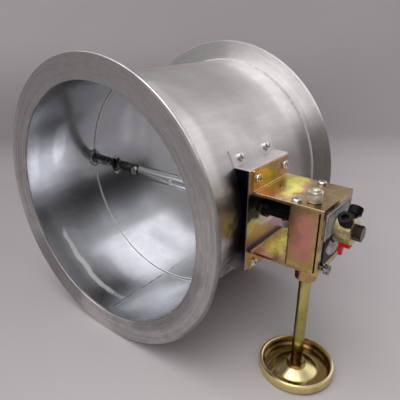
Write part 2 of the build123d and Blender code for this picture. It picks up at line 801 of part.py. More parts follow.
with BuildPart() as wheel_pin:
    with BuildSketch(Plane.XY.offset(shaft_z)):
        with Locations((wheel_pin_x, shaft_y)):
            Circle(pin_r)
    extrude(amount=wheel_hub_r - 0.2, both=True)
wheel_pin.part.label = "wheel_pin"
export_step(wheel_pin.part, "parts/wheel_pin.step")

with BuildPart() as hub:
    with BuildSketch(across(hub_x)):
        Circle(hub_r)
        Circle(drive_shaft_r, mode=Mode.SUBTRACT)
    extrude(amount=hub_end - hub_x)
    chamfer(hub.edges().filter_by(GeomType.CIRCLE).group_by(Axis.X)[-1].sort_by(SortBy.RADIUS)[-1], hub_edge)
    with Locations(Location((hub_screw_x, shaft_y, shaft_z))):
        for turn in hub_screw_turns:
            with Locations(Location((0, 0, 0), (turn - 90, 0, 0))):
                with Locations((0, 0, drive_shaft_r)):
                    Cylinder(
                        hub_screw_r,
                        hub_r,
                        align=(Align.CENTER, Align.CENTER, Align.MIN),
                        mode=Mode.SUBTRACT,
                    )
hub.part.label = "hub"
export_step(hub.part, "parts/hub.step")

with BuildPart() as hub_screws:
    with Locations(Location((hub_screw_x, shaft_y, shaft_z))):
        for turn in hub_screw_turns:
            with Locations(Location((0, 0, 0), (turn - 90, 0, 0))):
                with Locations((0, 0, drive_shaft_r)):
                    Cylinder(
                        hub_screw_r,
                        cap_seat - drive_shaft_r,
                        align=(Align.CENTER, Align.CENTER, Align.MIN),
                    )
                with Locations((0, 0, cap_seat)):
                    Cylinder(cap_r, cap_t, align=(Align.CENTER, Align.CENTER, Align.MIN))
    rims = hub_screws.edges().filter_by(GeomType.CIRCLE).filter_by(lambda e: abs(e.radius - cap_r) < 0.01)
    chamfer(rims, cap_edge)
    for turn in hub_screw_turns:
        with BuildSketch(Plane(
            origin=(
                hub_screw_x,
                shaft_y + (cap_seat + cap_t - socket_depth) * cos(radians(turn)),
                shaft_z + (cap_seat + cap_t - socket_depth) * sin(radians(turn)),
            ),
            x_dir=(1, 0, 0),
            z_dir=(0, cos(radians(turn)), sin(radians(turn))),
        )):
            RegularPolygon(socket_flats / 2, 6, major_radius=False)
        extrude(amount=cap_t, mode=Mode.SUBTRACT)
hub_screws.part.label = "hub_screws"
export_step(hub_screws.part, "parts/hub_screws.step")

with BuildPart() as hub_bolt:
    with BuildSketch(across(hub_end - hub_bolt_len)):
        Circle(hub_bolt_r)
    extrude(amount=hub_bolt_len)
    with BuildSketch(across(hub_end)):
        RegularPolygon(hub_bolt_flats / 2, 6, major_radius=False, rotation=12)
    extrude(amount=hub_bolt_head)
hub_bolt.part.label = "hub_bolt"
export_step(hub_bolt.part, "parts/hub_bolt.step")

with BuildPart() as pointer:
    with BuildSketch(across(pointer_x).rotated((0, 0, pointer_turn))):
        with Locations((0, -hub_r - pointer_t / 2)):
            Rectangle(pointer_width, pointer_t)
    extrude(amount=pointer_len)
    with BuildSketch(across(pointer_x).rotated((0, 0, pointer_turn))):
        with BuildLine():
            Polyline(
                (-pointer_width / 2, -hub_r),
                (pointer_width / 2, -hub_r),
                (pointer_width / 2, -hub_r - 3.0),
                (1.1, -hub_r - pointer_tip),
                (-1.1, -hub_r - pointer_tip),
                (-pointer_width / 2, -hub_r - 3.0),
                close=True,
            )
        make_face()
    extrude(amount=pointer_t)
pointer.part.label = "pointer"
export_step(pointer.part, "parts/pointer.step")

# Worm shaft: rod, worm, journal and stud in one turned piece

thread_start = shaft_z - thread_pitch * (thread_turns / 2)
thread_half_root = thread_pitch / 4 - flank_gap + tan(pressure) * (dedendum + 0.3)
thread_half_tip = thread_pitch / 4 - flank_gap - tan(pressure) * addendum
worm_half = 10.2
core_r = worm_pitch_r - dedendum

with BuildPart() as worm_shaft:
    with BuildSketch(facing(worm_x, worm_y, 0)):
        with BuildLine():
            Polyline(
                (0, dish_low + 0.4),
                (rod_end_r, dish_low + 0.4),
                (rod_end_r, dish_low + dish_rise + dish_t + upper_nut_t),
                (rod_r, dish_low + dish_rise + dish_t + upper_nut_t),
                (rod_r, housing_foot + seat_gap),
                (collar_r, housing_foot + seat_gap),
                (collar_r, shaft_z - worm_half),
                (core_r, shaft_z - worm_half),
                (core_r, shaft_z + worm_half),
                (collar_r, shaft_z + worm_half),
                (collar_r, housing_top - seat_gap),
                (journal_r, housing_top - seat_gap),
                (journal_r, nut_seat),
                (stud_r, nut_seat),
                (stud_r, nut_seat + nut_t + 0.2),
                (0, nut_seat + nut_t + 0.2),
                close=True,
            )
        make_face()
    revolve(axis=rod_axis)
    with BuildLine():
        Helix(thread_pitch, thread_pitch * thread_turns, worm_pitch_r, center=(worm_x, worm_y, thread_start))
    with BuildSketch(facing(worm_x + worm_pitch_r, worm_y, thread_start)):
        with BuildLine():
            Polyline(
                (-dedendum - 0.3, -thread_half_root),
                (addendum, -thread_half_tip),
                (addendum, thread_half_tip),
                (-dedendum - 0.3, thread_half_root),
                close=True,
            )
        make_face()
    sweep(is_frenet=True)
worm_shaft.part.label = "worm_shaft"
export_step(worm_shaft.part, "parts/worm_shaft.step")

with BuildPart() as top_nut:
    with BuildSketch(Plane.XY.offset(nut_seat)):
        with Locations((worm_x, worm_y)):
            RegularPolygon(nut_flats / 2, 6, major_radius=False, rotation=nut_turn)
            Circle(stud_r, mode=Mode.SUBTRACT)
    extrude(amount=nut_t)
    with BuildSketch(facing(worm_x, worm_y, 0)):
        with BuildLine():
            Polyline(
                (0, nut_seat),
                (nut_flats, nut_seat),
                (nut_flats, nut_seat + nut_t - nut_point),
                (nut_flats / 2 - 0.3, nut_seat + nut_t),
                (0, nut_seat + nut_t),
                close=True,
            )
        make_face()
    revolve(axis=rod_axis, mode=Mode.INTERSECT)
top_nut.part.label = "top_nut"
export_step(top_nut.part, "parts/top_nut.step")

with BuildPart() as handwheel_dish:
    with BuildSketch(facing(worm_x, worm_y, dish_low)):
        with BuildLine():
            Polyline(
                (rod_end_r, dish_rise),
                (dish_flat_r - 0.4, dish_rise),
                (dish_cone_r - 0.5, 0),
                (dish_r - dish_lip, 0),
                (dish_r - dish_curl, dish_t / 2),
                (dish_r, 2 * dish_t),
                (dish_r, dish_rim - 2 * dish_curl),
                (dish_r - dish_curl / 2, dish_rim - dish_curl / 2),
                (dish_r - 2 * dish_curl, dish_rim),
                (dish_r - dish_lip + dish_curl / 2, dish_rim - dish_curl / 2),
                (dish_r - dish_lip, dish_rim - 2 * dish_curl),
                (dish_r - dish_lip, 2 * dish_t),
                (dish_r - dish_lip - dish_t, dish_t),
                (dish_cone_r, dish_t),
                (dish_flat_r, dish_rise + dish_t),
                (rod_end_r, dish_rise + dish_t),
                close=True,
            )
        make_face()
    revolve(axis=rod_axis)
handwheel_dish.part.label = "handwheel_dish"
export_step(handwheel_dish.part, "parts/handwheel_dish.step")

with BuildPart() as dish_nuts:
    for z, height in (
        (dish_low + dish_rise - lower_nut_t, lower_nut_t),
        (dish_low + dish_rise + dish_t, upper_nut_t),
    ):
        with BuildSketch(Plane.XY.offset(z)):
            with Locations((worm_x, worm_y)):
                RegularPolygon(dish_nut_flats / 2, 6, major_radius=False, rotation=25)
                Circle(rod_end_r, mode=Mode.SUBTRACT)
        extrude(amount=height)
dish_nuts.part.label = "dish_nuts"
export_step(dish_nuts.part, "parts/dish_nuts.step")
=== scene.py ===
import logging
from dataclasses import dataclass
from enum import Enum
from functools import partialmethod
from math import cos, pi, radians, sin

import bmesh
import bpy
from mathutils import Matrix, Vector


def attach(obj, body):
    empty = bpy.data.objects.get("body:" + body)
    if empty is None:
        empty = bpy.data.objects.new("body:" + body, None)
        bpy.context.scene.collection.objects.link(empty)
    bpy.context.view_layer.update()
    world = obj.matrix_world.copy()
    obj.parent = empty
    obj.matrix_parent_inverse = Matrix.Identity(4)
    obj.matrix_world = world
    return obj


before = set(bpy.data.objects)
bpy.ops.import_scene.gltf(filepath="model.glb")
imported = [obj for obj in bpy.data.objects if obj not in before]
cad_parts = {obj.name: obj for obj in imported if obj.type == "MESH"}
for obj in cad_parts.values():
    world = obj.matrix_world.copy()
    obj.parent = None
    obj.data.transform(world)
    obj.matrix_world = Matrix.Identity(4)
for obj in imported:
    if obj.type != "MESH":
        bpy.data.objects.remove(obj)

LOG = logging.getLogger("volume_damper")
MM = 0.001
FADE = 12.0  # How many degrees a zone's ends take to fade
CORE = 0.15  # The share of a zone's half width that is fully changed

Pair = tuple[float, float]
Colour = tuple[float, float, float]
Point = tuple[float, float, float]


class Body(str, Enum):
    """The bodies that the scene's own pieces ride on."""

    CASING = "casing"
    HANDWHEEL = "handwheel"


class Effect(str, Enum):
    """The surface effects that several materials share."""

    CLOUDS = "clouds"
    SCRATCHES = "scratches"
    GRAIN = "grain"
    RADIUS = "radius"


class Bench:
    """Places and wires the nodes of one tree."""

    def __init__(self, tree: bpy.types.NodeTree) -> None:
        """Keeps the tree of a material, a group or the world."""
        self.tree = tree

    def node(self, kind: str, inputs: dict | None = None, **settings) -> bpy.types.Node:
        """Adds a node of a kind, with its own settings and with what its inputs take."""
        made = self.tree.nodes.new("ShaderNode" + kind)
        for name, setting in settings.items():
            setattr(made, name, setting)
        for name, taken in (inputs or {}).items():
            self.feed(made.inputs[name], taken)
        return made

    def feed(self, socket: bpy.types.NodeSocket, taken: object) -> None:
        """Links a Value to a socket, or sets the socket's own number, vector or colour."""
        if isinstance(taken, Value):
            self.tree.links.new(taken.socket, socket)
        else:
            socket.default_value = (*taken, 1.0) if socket.type == "RGBA" else taken

    def value(
        self, kind: str, inputs: dict | None = None, output: int | str = 0, **settings
    ) -> "Value":
        """Adds a node as node() does, and returns one of its outputs."""
        return Value(self, self.node(kind, inputs, **settings).outputs[output])


class Value:
    """A node's output, with the sums, masks and textures that finishes are made of."""

    def __init__(self, bench: Bench, socket: bpy.types.NodeSocket) -> None:
        """Keeps the output and its bench."""
        self.bench = bench
        self.socket = socket

    def math(self, operation: str, other: object = 0.0, clamp: bool = False) -> "Value":
        """Returns a Math node's result for this value and another."""
        inputs = {0: self, 1: other}
        return self.bench.value("Math", inputs, operation=operation, use_clamp=clamp)

    __add__ = partialmethod(math, "ADD")
    __sub__ = partialmethod(math, "SUBTRACT")
    __mul__ = partialmethod(math, "MULTIPLY")
    __truediv__ = partialmethod(math, "DIVIDE")
    __lt__ = partialmethod(math, "LESS_THAN")
    __gt__ = partialmethod(math, "GREATER_THAN")
    __abs__ = partialmethod(math, "ABSOLUTE")

    def swing(self, amount: float) -> "Value":
        """Returns this value, 0 to 1, as a swing about zero."""
        return (self - 0.5) * amount

    def span(self, low: float, high: float, start: float = 0.0, end: float = 1.0) -> "Value":
        """Returns this value with low to high mapped to start to end, clamped and smooth."""
        inputs = dict(enumerate((self, low, high, start, end)))
        return self.bench.value("MapRange", inputs, interpolation_type="SMOOTHSTEP")

    def drop(self, low: float, high: float) -> "Value":
        """Returns 1 where this value is under low and 0 where it is over high."""
        return self.span(low, high, 1.0, 0.0)

    def fade(self, start: float, end: float) -> "Value":
        """Returns start where this value is 0 and end where it is 1."""
        return self.span(0.0, 1.0, start, end)

    def mix(self, first: object, second: object) -> "Value":
        """Mixes two colours, this value being the share of the second."""
        return self.bench.value("Mix", {0: self, 6: first, 7: second}, 2, data_type="RGBA")

    def ramp(self, *stops: tuple[float, Colour]) -> "Value":
        """Returns a colour by a row of places with their colours."""
        made = self.bench.node("ValToRGB", {0: self})
        elements = made.color_ramp.elements
        while len(elements) < len(stops):
            elements.new(0.5)
        for element, (place, colour) in zip(elements, stops):
            element.position = place
            element.color = (*colour, 1.0)
        return Value(self.bench, made.outputs[0])

    def scaled(self, factor: object) -> "Value":
        """Returns this colour, scaled."""
        return self.bench.value("VectorMath", {0: self, "Scale": factor}, operation="SCALE")

    def vector(self, operation: str, other: object, output: str = "Vector") -> "Value":
        """Returns a Vector Math node's result for this vector and another."""
        return self.bench.value("VectorMath", {0: self, 1: other}, output, operation=operation)

    def dot(self, way: object) -> "Value":
        """Returns how far this place lies along a way."""
        return self.vector("DOT_PRODUCT", way, "Value")

    def split(self) -> list["Value"]:
        """Returns this place's x, y and z."""
        outputs = self.bench.node("SeparateXYZ", {0: self}).outputs
        return [Value(self.bench, socket) for socket in outputs]

    def angle(self) -> "Value":
        """Returns this place's angle about the duct's axis, in radians."""
        x, _, z = self.split()
        return z.math("ARCTAN2", x)

    def turn(self) -> "Value":
        """Returns this place's angle about the duct's axis, 0 to 360 degrees."""
        angle = self.angle() * (180.0 / pi)
        return angle + (angle < 0.0) * 360.0

    def noise(self, scale: object, detail: float, distortion: float = 0.0) -> "Value":
        """Returns a noise texture at this place, about 0.3 to 0.7."""
        inputs = {"Vector": self, "Scale": scale, "Detail": detail, "Distortion": distortion}
        return self.bench.value("TexNoise", inputs)

    def mapped(self, **inputs: Point) -> "Value":
        """Returns this place, turned or scaled by a Mapping node."""
        return self.bench.value("Mapping", {"Vector": self, **inputs})

    def effect(self, effect: Effect, *settings: float) -> "Value":
        """Returns a shared effect's mask at this place."""
        inputs = dict(enumerate((self, *settings)))
        return self.bench.value("Group", inputs, node_tree=Effects.tree(effect))

    def clouds(self, scale: float, contrast: float = 0.5) -> "Value":
        """Returns soft patches at this place, 0 to 1."""
        return self.effect(Effect.CLOUDS, scale, contrast)

    def bump(self, strength: float, depth: float) -> "Value":
        """Returns the normal that this height gives, from a strength and a depth in metres."""
        return self.bench.value("Bump", {"Height": self, "Strength": strength, "Distance": depth})


class Effects:
    """Builds each shared effect once, as a node group."""

    SOCKETS = {
        Effect.CLOUDS: ("Scale", "Contrast"),
        Effect.SCRATCHES: ("Scale", "Amount"),
        Effect.GRAIN: ("Scale",),
        Effect.RADIUS: (),
    }

    @classmethod
    def tree(cls, effect: Effect) -> bpy.types.NodeTree:
        """Returns an effect's group, made at its first use."""
        found = bpy.data.node_groups.get(effect.value)
        if found:
            return found
        tree = bpy.data.node_groups.new(effect.value, "ShaderNodeTree")
        tree.interface.new_socket("Vector", in_out="INPUT", socket_type="NodeSocketVector")
        for name in cls.SOCKETS[effect]:
            tree.interface.new_socket(name, in_out="INPUT", socket_type="NodeSocketFloat")
        tree.interface.new_socket("Mask", in_out="OUTPUT", socket_type="NodeSocketFloat")
        bench = Bench(tree)
        sockets = tree.nodes.new("NodeGroupInput").outputs
        inputs = [Value(bench, sockets[name]) for name in ("Vector", *cls.SOCKETS[effect])]
        mask = getattr(cls, effect.value)(*inputs)
        bench.feed(tree.nodes.new("NodeGroupOutput").inputs[0], mask)
        return tree

    @staticmethod
    def clouds(place: Value, scale: Value, contrast: Value) -> Value:
        """Returns soft patches of two sizes, 0 to 1."""
        wide = place.noise(scale, 2.0, 0.6)
        fine = place.noise(scale * 4.3, 4.0, 0.2)
        around = (wide * 0.7 + fine * 0.3 - 0.5) * (contrast * 8.0)
        return around.math("ADD", 0.5, clamp=True)

    @staticmethod
    def scratches(place: Value, scale: Value, amount: Value) -> Value:
        """Returns thin random lines in two directions, 0 or up to the amount."""
        lines = []
        for turn, stretch in ((0.6, 0.035), (2.2, 0.05)):
            rotation = (turn, 0.4 * turn, turn)
            turned = place.mapped(Rotation=rotation, Scale=(1.0, stretch, stretch))
            lines.append(turned.noise(scale, 2.0, 0.15).span(0.64, 0.72))
        return lines[0].math("MAXIMUM", lines[1]) * amount

    @staticmethod
    def grain(place: Value, scale: Value) -> Value:
        """Returns fine even grain, 0 to 1."""
        return place.noise(scale, 2.0)

    @staticmethod
    def radius(place: Value) -> Value:
        """Returns the distance from the duct's axis, in metres."""
        flat = place.vector("MULTIPLY", (1.0, 0.0, 1.0))
        return flat.vector("LENGTH", (0.0, 0.0, 0.0), "Value")


@dataclass(frozen=True)
class Zone:
    """A soft-edged place on a round surface, in millimetres and degrees, where light or shade is
    painted into the colour.

    Attributes:
        middle: Its middle along the duct, or its radius on a ring.
        half: Half its width.
        start: The angle about the duct's axis where it starts.
        end: The angle where it ends.
        factor: The factor on the colour there.
    """

    middle: float
    half: float
    start: float
    end: float
    factor: float

    def mask(self, along: Value, turn: Value) -> Value:
        """Returns the zone's mask, 0 to 1, from a distance in metres and an angle."""
        half = self.half * MM
        across = abs(along - self.middle * MM).drop(CORE * half, half)
        started = turn.span(self.start - FADE, self.start)
        return across * (started * turn.drop(self.end, self.end + FADE))


def zoned(colour: Value, along: Value, turn: Value, zones: tuple[Zone, ...]) -> Value:
    """Returns a colour with painted light and shade scaled in zones, from a distance in metres and
    an angle in degrees.
    """
    for zone in zones:
        colour = colour.scaled(zone.mask(along, turn).fade(1.0, zone.factor))
    return colour


@dataclass(frozen=True)
class Finish:
    """A surface, made as one material.

    Attributes:
        name: The start of the material's name.
    """

    name: str

    def material(self) -> bpy.types.Material:
        """Returns the material, made at its first use."""
        label = self.name + "_finish"
        found = bpy.data.materials.get(label)
        if found:
            return found
        made = bpy.data.materials.new(label)
        made.use_nodes = True
        made.node_tree.nodes.clear()
        bench = Bench(made.node_tree)
        place = bench.value("TexCoord", output="Object")
        surface = bench.value("BsdfPrincipled", self.dress(place))
        bench.node("OutputMaterial", {"Surface": self.skin(surface)})
        return made

    def skin(self, surface: Value) -> Value:
        """Returns what the material puts out."""
        return surface

    def dress(self, place: Value) -> dict[str, object]:
        """Wires the surface's effects.

        Args:
            place: The object coordinates, which are the model's own in metres.

        Returns:
            The Principled shader's inputs by their names.
        """
        raise NotImplementedError

    def metal(self, place: Value) -> object:
        """Returns how metallic the surface is."""
        return 1.0


@dataclass(frozen=True)
class Toned(Finish):
    """A finish between two tones.

    Attributes:
        low: The darker tone.
        high: The lighter tone.
        smooth: Roughness where it is bright.
        satin: Roughness where it is dull.
    """

    low: Colour
    high: Colour
    smooth: float = 0.18
    satin: float = 0.34

    def tint(self, place: Value, colour: Value) -> Value:
        """Returns the colour as it is, or changed over the surface by a special finish."""
        return colour


@dataclass(frozen=True)
class Sheet(Toned):
    """Rolled galvanised sheet.

    Attributes:
        patches: How strong the clouds are.
        roll: How the rolling streaks are stretched.
        scratch: The scratches' tone.
    """

    smooth: float = 0.30
    satin: float = 0.40
    patches: float = 0.3
    roll: Point = (1.0, 0.12, 1.0)
    scratch: Colour = (0.8, 0.8, 0.8)

    def dress(self, place: Value) -> dict[str, object]:
        """Wires clouds, rolling streaks, scratches and grain."""
        clouds = place.clouds(16.0, self.patches)
        rolled = place.mapped(Scale=self.roll)
        scratches = place.effect(Effect.SCRATCHES, 900.0, 0.35)
        tone = clouds * 0.65 + rolled.clouds(210.0, 0.35) * 0.35
        colour = self.tint(place, tone.mix(self.low, self.high))
        height = clouds * 0.5 + rolled.effect(Effect.GRAIN, 700.0) * 0.12
        return {
            "Base Color": (scratches * 0.4).mix(colour, self.scratch),
            "Metallic": self.metal(place),
            "Roughness": self.polish(place, tone.fade(self.satin, self.smooth)) + scratches * 0.1,
            "Normal": (height - scratches * 0.2).bump(0.18, 0.0005),
        }

    def polish(self, place: Value, dull: Value) -> Value:
        """Returns the roughness as it is, or changed over the surface by a special sheet."""
        return dull


@dataclass(frozen=True)
class BarrelSheet(Sheet):
    """The duct's sheet: satin outside, smoother inside and brightened and blued there by painted
    light, turning lines near its ends.

    Attributes:
        inner_radius: Inside this distance from the duct's axis the sheet is bright.
        inner_painted_light: The inner face's factor on the colour, painted light that brightens and
            blues it.
        inner_share: The bright side's factor on the roughness.
        length: The duct's length.
        band: How far the turning lines reach from each end.
        lines: The turning lines' tone.
        dark_reflection: The tone of the painted dark reflection beside the saddle.
        reflection_span: Where the painted dark reflection starts, gets dense and ends, along the
            duct.
        reflection_foot: The heights between which the painted dark reflection starts.
        reflection_top: The heights between which it ends.
        reflection_side: The painted dark reflection is only beyond this distance along the shaft.
        band_highlight_tone: The tone of the painted highlight band inside.
        highlight_band: A painted highlight band on the inner face; its factor is how little it is
            metallic.
        painted_shades: Painted shade and painted highlights on the inner face, along and around the
            duct.
        painted_gleams: Painted highlights and painted shade on the outer face.
    """

    inner_radius: float = 0.0989
    inner_painted_light: Colour = (1.03, 1.09, 1.12)
    inner_share: float = 0.55
    length: float = 0.175
    band: float = 0.03
    lines: Colour = (0.34, 0.335, 0.33)
    dark_reflection: Colour = (0.075, 0.055, 0.045)
    reflection_span: Point = (0.026, 0.049, 0.0545)
    reflection_foot: Pair = (-0.052, -0.032)
    reflection_top: Pair = (0.026, 0.043)
    reflection_side: float = 0.05
    band_highlight_tone: Colour = (0.95, 0.95, 0.95)
    # A painted highlight band on the inner face.
    highlight_band: Zone = Zone(22.0, 4.5, 222.0, 260.0, 0.42)
    # Painted shade and painted highlights on the inner face.
    painted_shades: tuple[Zone, ...] = (
        Zone(9.0, 9.0, 160.0, 182.0, 1.35),
        Zone(37.0, 12.0, 152.0, 172.0, 1.45),
        Zone(45.0, 34.0, 190.0, 212.0, 0.8),
        Zone(40.0, 13.0, 240.0, 262.0, 0.75),
        Zone(9.0, 9.0, 206.0, 256.0, 0.8),
    )
    # Painted highlights and painted shade on the outer face.
    painted_gleams: tuple[Zone, ...] = (
        Zone(27.0, 13.0, 12.0, 76.0, 1.34),
        Zone(70.0, 34.0, 14.0, 36.0, 1.16),
        Zone(158.0, 26.0, 10.0, 38.0, 1.28),
        Zone(66.0, 50.0, 54.0, 80.0, 1.1),
        Zone(160.0, 24.0, 42.0, 106.0, 1.18),
        Zone(82.0, 42.0, 38.0, 108.0, 0.86),
        Zone(40.0, 50.0, 78.0, 112.0, 0.8),
    )

    def inside(self, place: Value) -> Value:
        """Returns 1 on the sheet's inner face and 0 on its outer face."""
        return place.effect(Effect.RADIUS) < self.inner_radius

    def wavy(self, place: Value) -> tuple[Value, Value]:
        """Returns the distance along the duct and the angle about it, both a little uneven."""
        shift = place.clouds(14.0) - 0.5
        return place.split()[1] + shift * 0.004, place.turn() + shift * 14.0

    def marks(self, place: Value) -> Value:
        """Returns how dark the turning lines near the ends are, from 0 to 0.5."""
        along = place.split()[1]
        lines = place.bench.value("CombineXYZ", {"X": along * 1500.0}).noise(1.0, 2.0)
        middle = self.length / 2
        near_end = abs(along - middle).span(middle - self.band, middle, 0.0, 0.5)
        return lines.span(0.42, 0.66) * near_end

    def stain_and_reflection(self, place: Value) -> Value:
        """Returns how strong the painted dark reflection beside the saddle is, from 0 to 1."""
        x, y, z = place.split()
        start, dense, end = self.reflection_span
        near = (y + place.clouds(45.0).swing(0.012)).span(start, dense, 0.0, 0.94)
        tall = z.span(*self.reflection_foot) * z.drop(*self.reflection_top) * (x > self.reflection_side)
        return near * (y < end) * tall

    def tint(self, place: Value, colour: Value) -> Value:
        """Puts turning lines on the sheet and paints light and shade into it: highlights and shade
        outside, a dark reflection beside the saddle, the inner face brightened with a highlight
        band.
        """
        spot = self.wavy(place)
        outer = self.marks(place).mix(zoned(colour, *spot, self.painted_gleams), self.lines)
        # A dark reflection of the saddle's side is painted on the barrel beside it.
        outer = self.stain_and_reflection(place).mix(outer, self.dark_reflection)
        # Painted light: the inner face brightened and blued, with painted light and shade in zones.
        inner = zoned(colour.vector("MULTIPLY", self.inner_painted_light), *spot, self.painted_shades)
        return self.inside(place).mix(outer, self.highlight_band.mask(*spot).mix(inner, self.band_highlight_tone))

    def metal(self, place: Value) -> Value:
        """Returns how metallic the sheet is, which is less on the painted highlight band inside."""
        band_highlight_tone = self.highlight_band.mask(*self.wavy(place)) * self.inside(place)
        return band_highlight_tone.fade(1.0, 1.0 - self.highlight_band.factor)

    def polish(self, place: Value, dull: Value) -> Value:
        """Makes the inner face bright."""
        return dull * self.inside(place).fade(1.0, self.inner_share)


@dataclass(frozen=True)
class DiscSheet(Sheet):
    """The blade's sheet, with a painted highlight on its cut edge and painted shade making its face
    a little darker below.

    Attributes:
        edge: The distances from the duct's axis between which the painted highlight on the cut edge
            starts.
        heights: The heights between which the painted highlight gets weaker and the painted shade
            fades out.
        gleam: The painted highlight's share at the upper height.
        shade: The face's factor at the lower height, a painted shade.
        cut: How metallic the cut edge is.
    """

    edge: Pair = (0.0966, 0.0969)
    heights: Pair = (-0.06, 0.06)
    gleam: float = 0.45
    shade: float = 0.82
    cut: float = 0.35

    def cut_edge_highlight(self, place: Value) -> Value:
        """Returns 1 on the cut edge, where a highlight is painted."""
        return place.effect(Effect.RADIUS).span(*self.edge)

    def tint(self, place: Value, colour: Value) -> Value:
        """Paints a highlight on the cut edge and shade on the face below."""
        low = place.split()[2].span(*self.heights, 1.0, self.gleam)
        face = colour.scaled(low.span(self.gleam, 1.0, 1.0, self.shade))
        return (self.cut_edge_highlight(place) * low).mix(face, (1.0, 1.0, 1.0))

    def metal(self, place: Value) -> Value:
        """Returns how metallic the sheet is, which is less on its cut edge with the painted
        highlight.
        """
        return self.cut_edge_highlight(place).fade(1.0, self.cut)


@dataclass(frozen=True)
class SaddleSheet(Sheet):
    """The saddle's sheet, with a painted dark reflection on its side towards the inlet.

    Attributes:
        dark: The tone of the painted dark reflection on that side.
        side_y: The side's place along the duct.
        front_x: The saddle's front.
        top: The side's top.
        arms: The heights between which a reflection of the yellow arms is painted on the front.
        reflection_foot: The heights between which the painted dark reflection gets dense.
        tab: The upper tab's factor on the colour, painted light that brightens it.
        film: The painted reflection on the front, from its foot up.
    """

    dark: Colour = (0.010, 0.010, 0.024)
    side_y: float = 0.053
    front_x: float = 0.1045
    top: float = 0.0395
    arms: Pair = (-0.024, 0.0218)
    reflection_foot: Pair = (-0.041, -0.015)
    tab: float = 1.12
    # The painted reflection of the yellow arms on the front, from its foot up.
    film: tuple = (
        (0.0, (0.54, 0.33, 0.40)),
        (0.3, (0.64, 0.43, 0.54)),
        (0.5, (0.80, 0.75, 0.76)),
        (0.62, (0.60, 0.57, 0.55)),
        (0.72, (0.06, 0.055, 0.055)),
        (1.0, (0.02, 0.02, 0.02)),
    )

    def stain_and_reflection(self, place: Value) -> Value:
        """Returns how strong the painted dark reflection on the side towards the inlet is, from 0
        to 1.
        """
        x, y, z = place.split()
        side = y.drop(self.side_y + 0.0002, self.side_y + 0.0012)
        front = x.drop(self.front_x - 0.0012, self.front_x - 0.0002)
        height = (z + place.clouds(30.0) * 0.02).span(*self.reflection_foot, 0.5, 1.0)
        return side * front * (height * (z < self.top))

    def tint(self, place: Value, colour: Value) -> Value:
        """Paints a dark reflection on the side towards the inlet, a reflection of the yellow arms
        on the front between them, and light on the upper tab.
        """
        x, _, z = place.split()
        low, high = self.arms
        # Painted reflection of the yellow arms on the front between them.
        film = (z + place.clouds(34.0).swing(0.016)).span(low, high).ramp(*self.film)
        front = (z > low) * (z < high) * (x > self.front_x - 0.0002)
        # The upper tab is brightened with painted light.
        arm_reflection = front.mix(colour.scaled((z > self.top).fade(1.0, self.tab)), film)
        # The side towards the inlet gets a painted dark reflection.
        return self.stain_and_reflection(place).mix(arm_reflection, self.dark)

    def metal(self, place: Value) -> Value:
        """Returns how metallic the saddle is, which is less on its upper tab's cut edge, lightening
        it as painted light.
        """
        _, y, z = place.split()
        return ((y < self.side_y + 0.0004) * (z > self.top)).fade(1.0, 0.1)


@dataclass(frozen=True)
class TurnedRing(Toned):
    """A flange with concentric brush marks and painted light and shade.

    Attributes:
        marks: Each layer's marks to the metre, waves, low and high end, and share of the tone.
        painted_shades: Its painted shade and painted highlights, by radius and angle.
    """

    low: Colour = (0.33, 0.312, 0.314)
    high: Colour = (0.70, 0.675, 0.672)
    smooth: float = 0.34
    satin: float = 0.5
    marks: tuple = (
        (2600.0, 3.0, 0.3, 0.7, 0.3),
        (300.0, 0.8, 0.35, 0.65, 0.25),
        (900.0, 14.0, 0.45, 0.75, 0.25),
    )
    # Painted shade and painted highlights on the inlet flange.
    painted_shades: tuple[Zone, ...] = (
        Zone(108.0, 30.0, 216.0, 244.0, 0.7),
        Zone(102.0, 7.0, 294.0, 344.0, 0.66),
        Zone(116.6, 2.4, 36.0, 56.0, 1.4),
        Zone(116.6, 2.4, 322.0, 373.0, 0.6),
        Zone(116.6, 2.4, -13.0, 6.0, 0.6),
        Zone(116.0, 6.0, 150.0, 196.0, 1.2),
        Zone(108.0, 30.0, 256.0, 266.0, 1.2),
    )

    def dress(self, place: Value) -> dict[str, object]:
        """Wires the ring marks, the clouds and the painted light and shade."""
        radius = place.effect(Effect.RADIUS)
        angle = place.angle()
        layers, shares = [], []
        for count, bend, low, high, share in self.marks:
            inputs = {"X": radius * count, "Y": angle * bend}
            layers.append(place.bench.value("CombineXYZ", inputs).noise(1.0, 3.0).span(low, high))
            shares.append(layers[-1] * share)
        tone = shares[0] + shares[1] + shares[2] + place.clouds(30.0, 0.6) * 0.2
        colour = tone.mix(self.low, self.high)
        return {
            "Base Color": zoned(colour, radius, place.turn(), self.painted_shades),
            "Metallic": self.metal(place),
            "Roughness": tone.span(0.1, 0.9, self.satin, self.smooth),
            "Normal": (layers[0] + layers[2]).bump(0.3, 0.00015),
        }


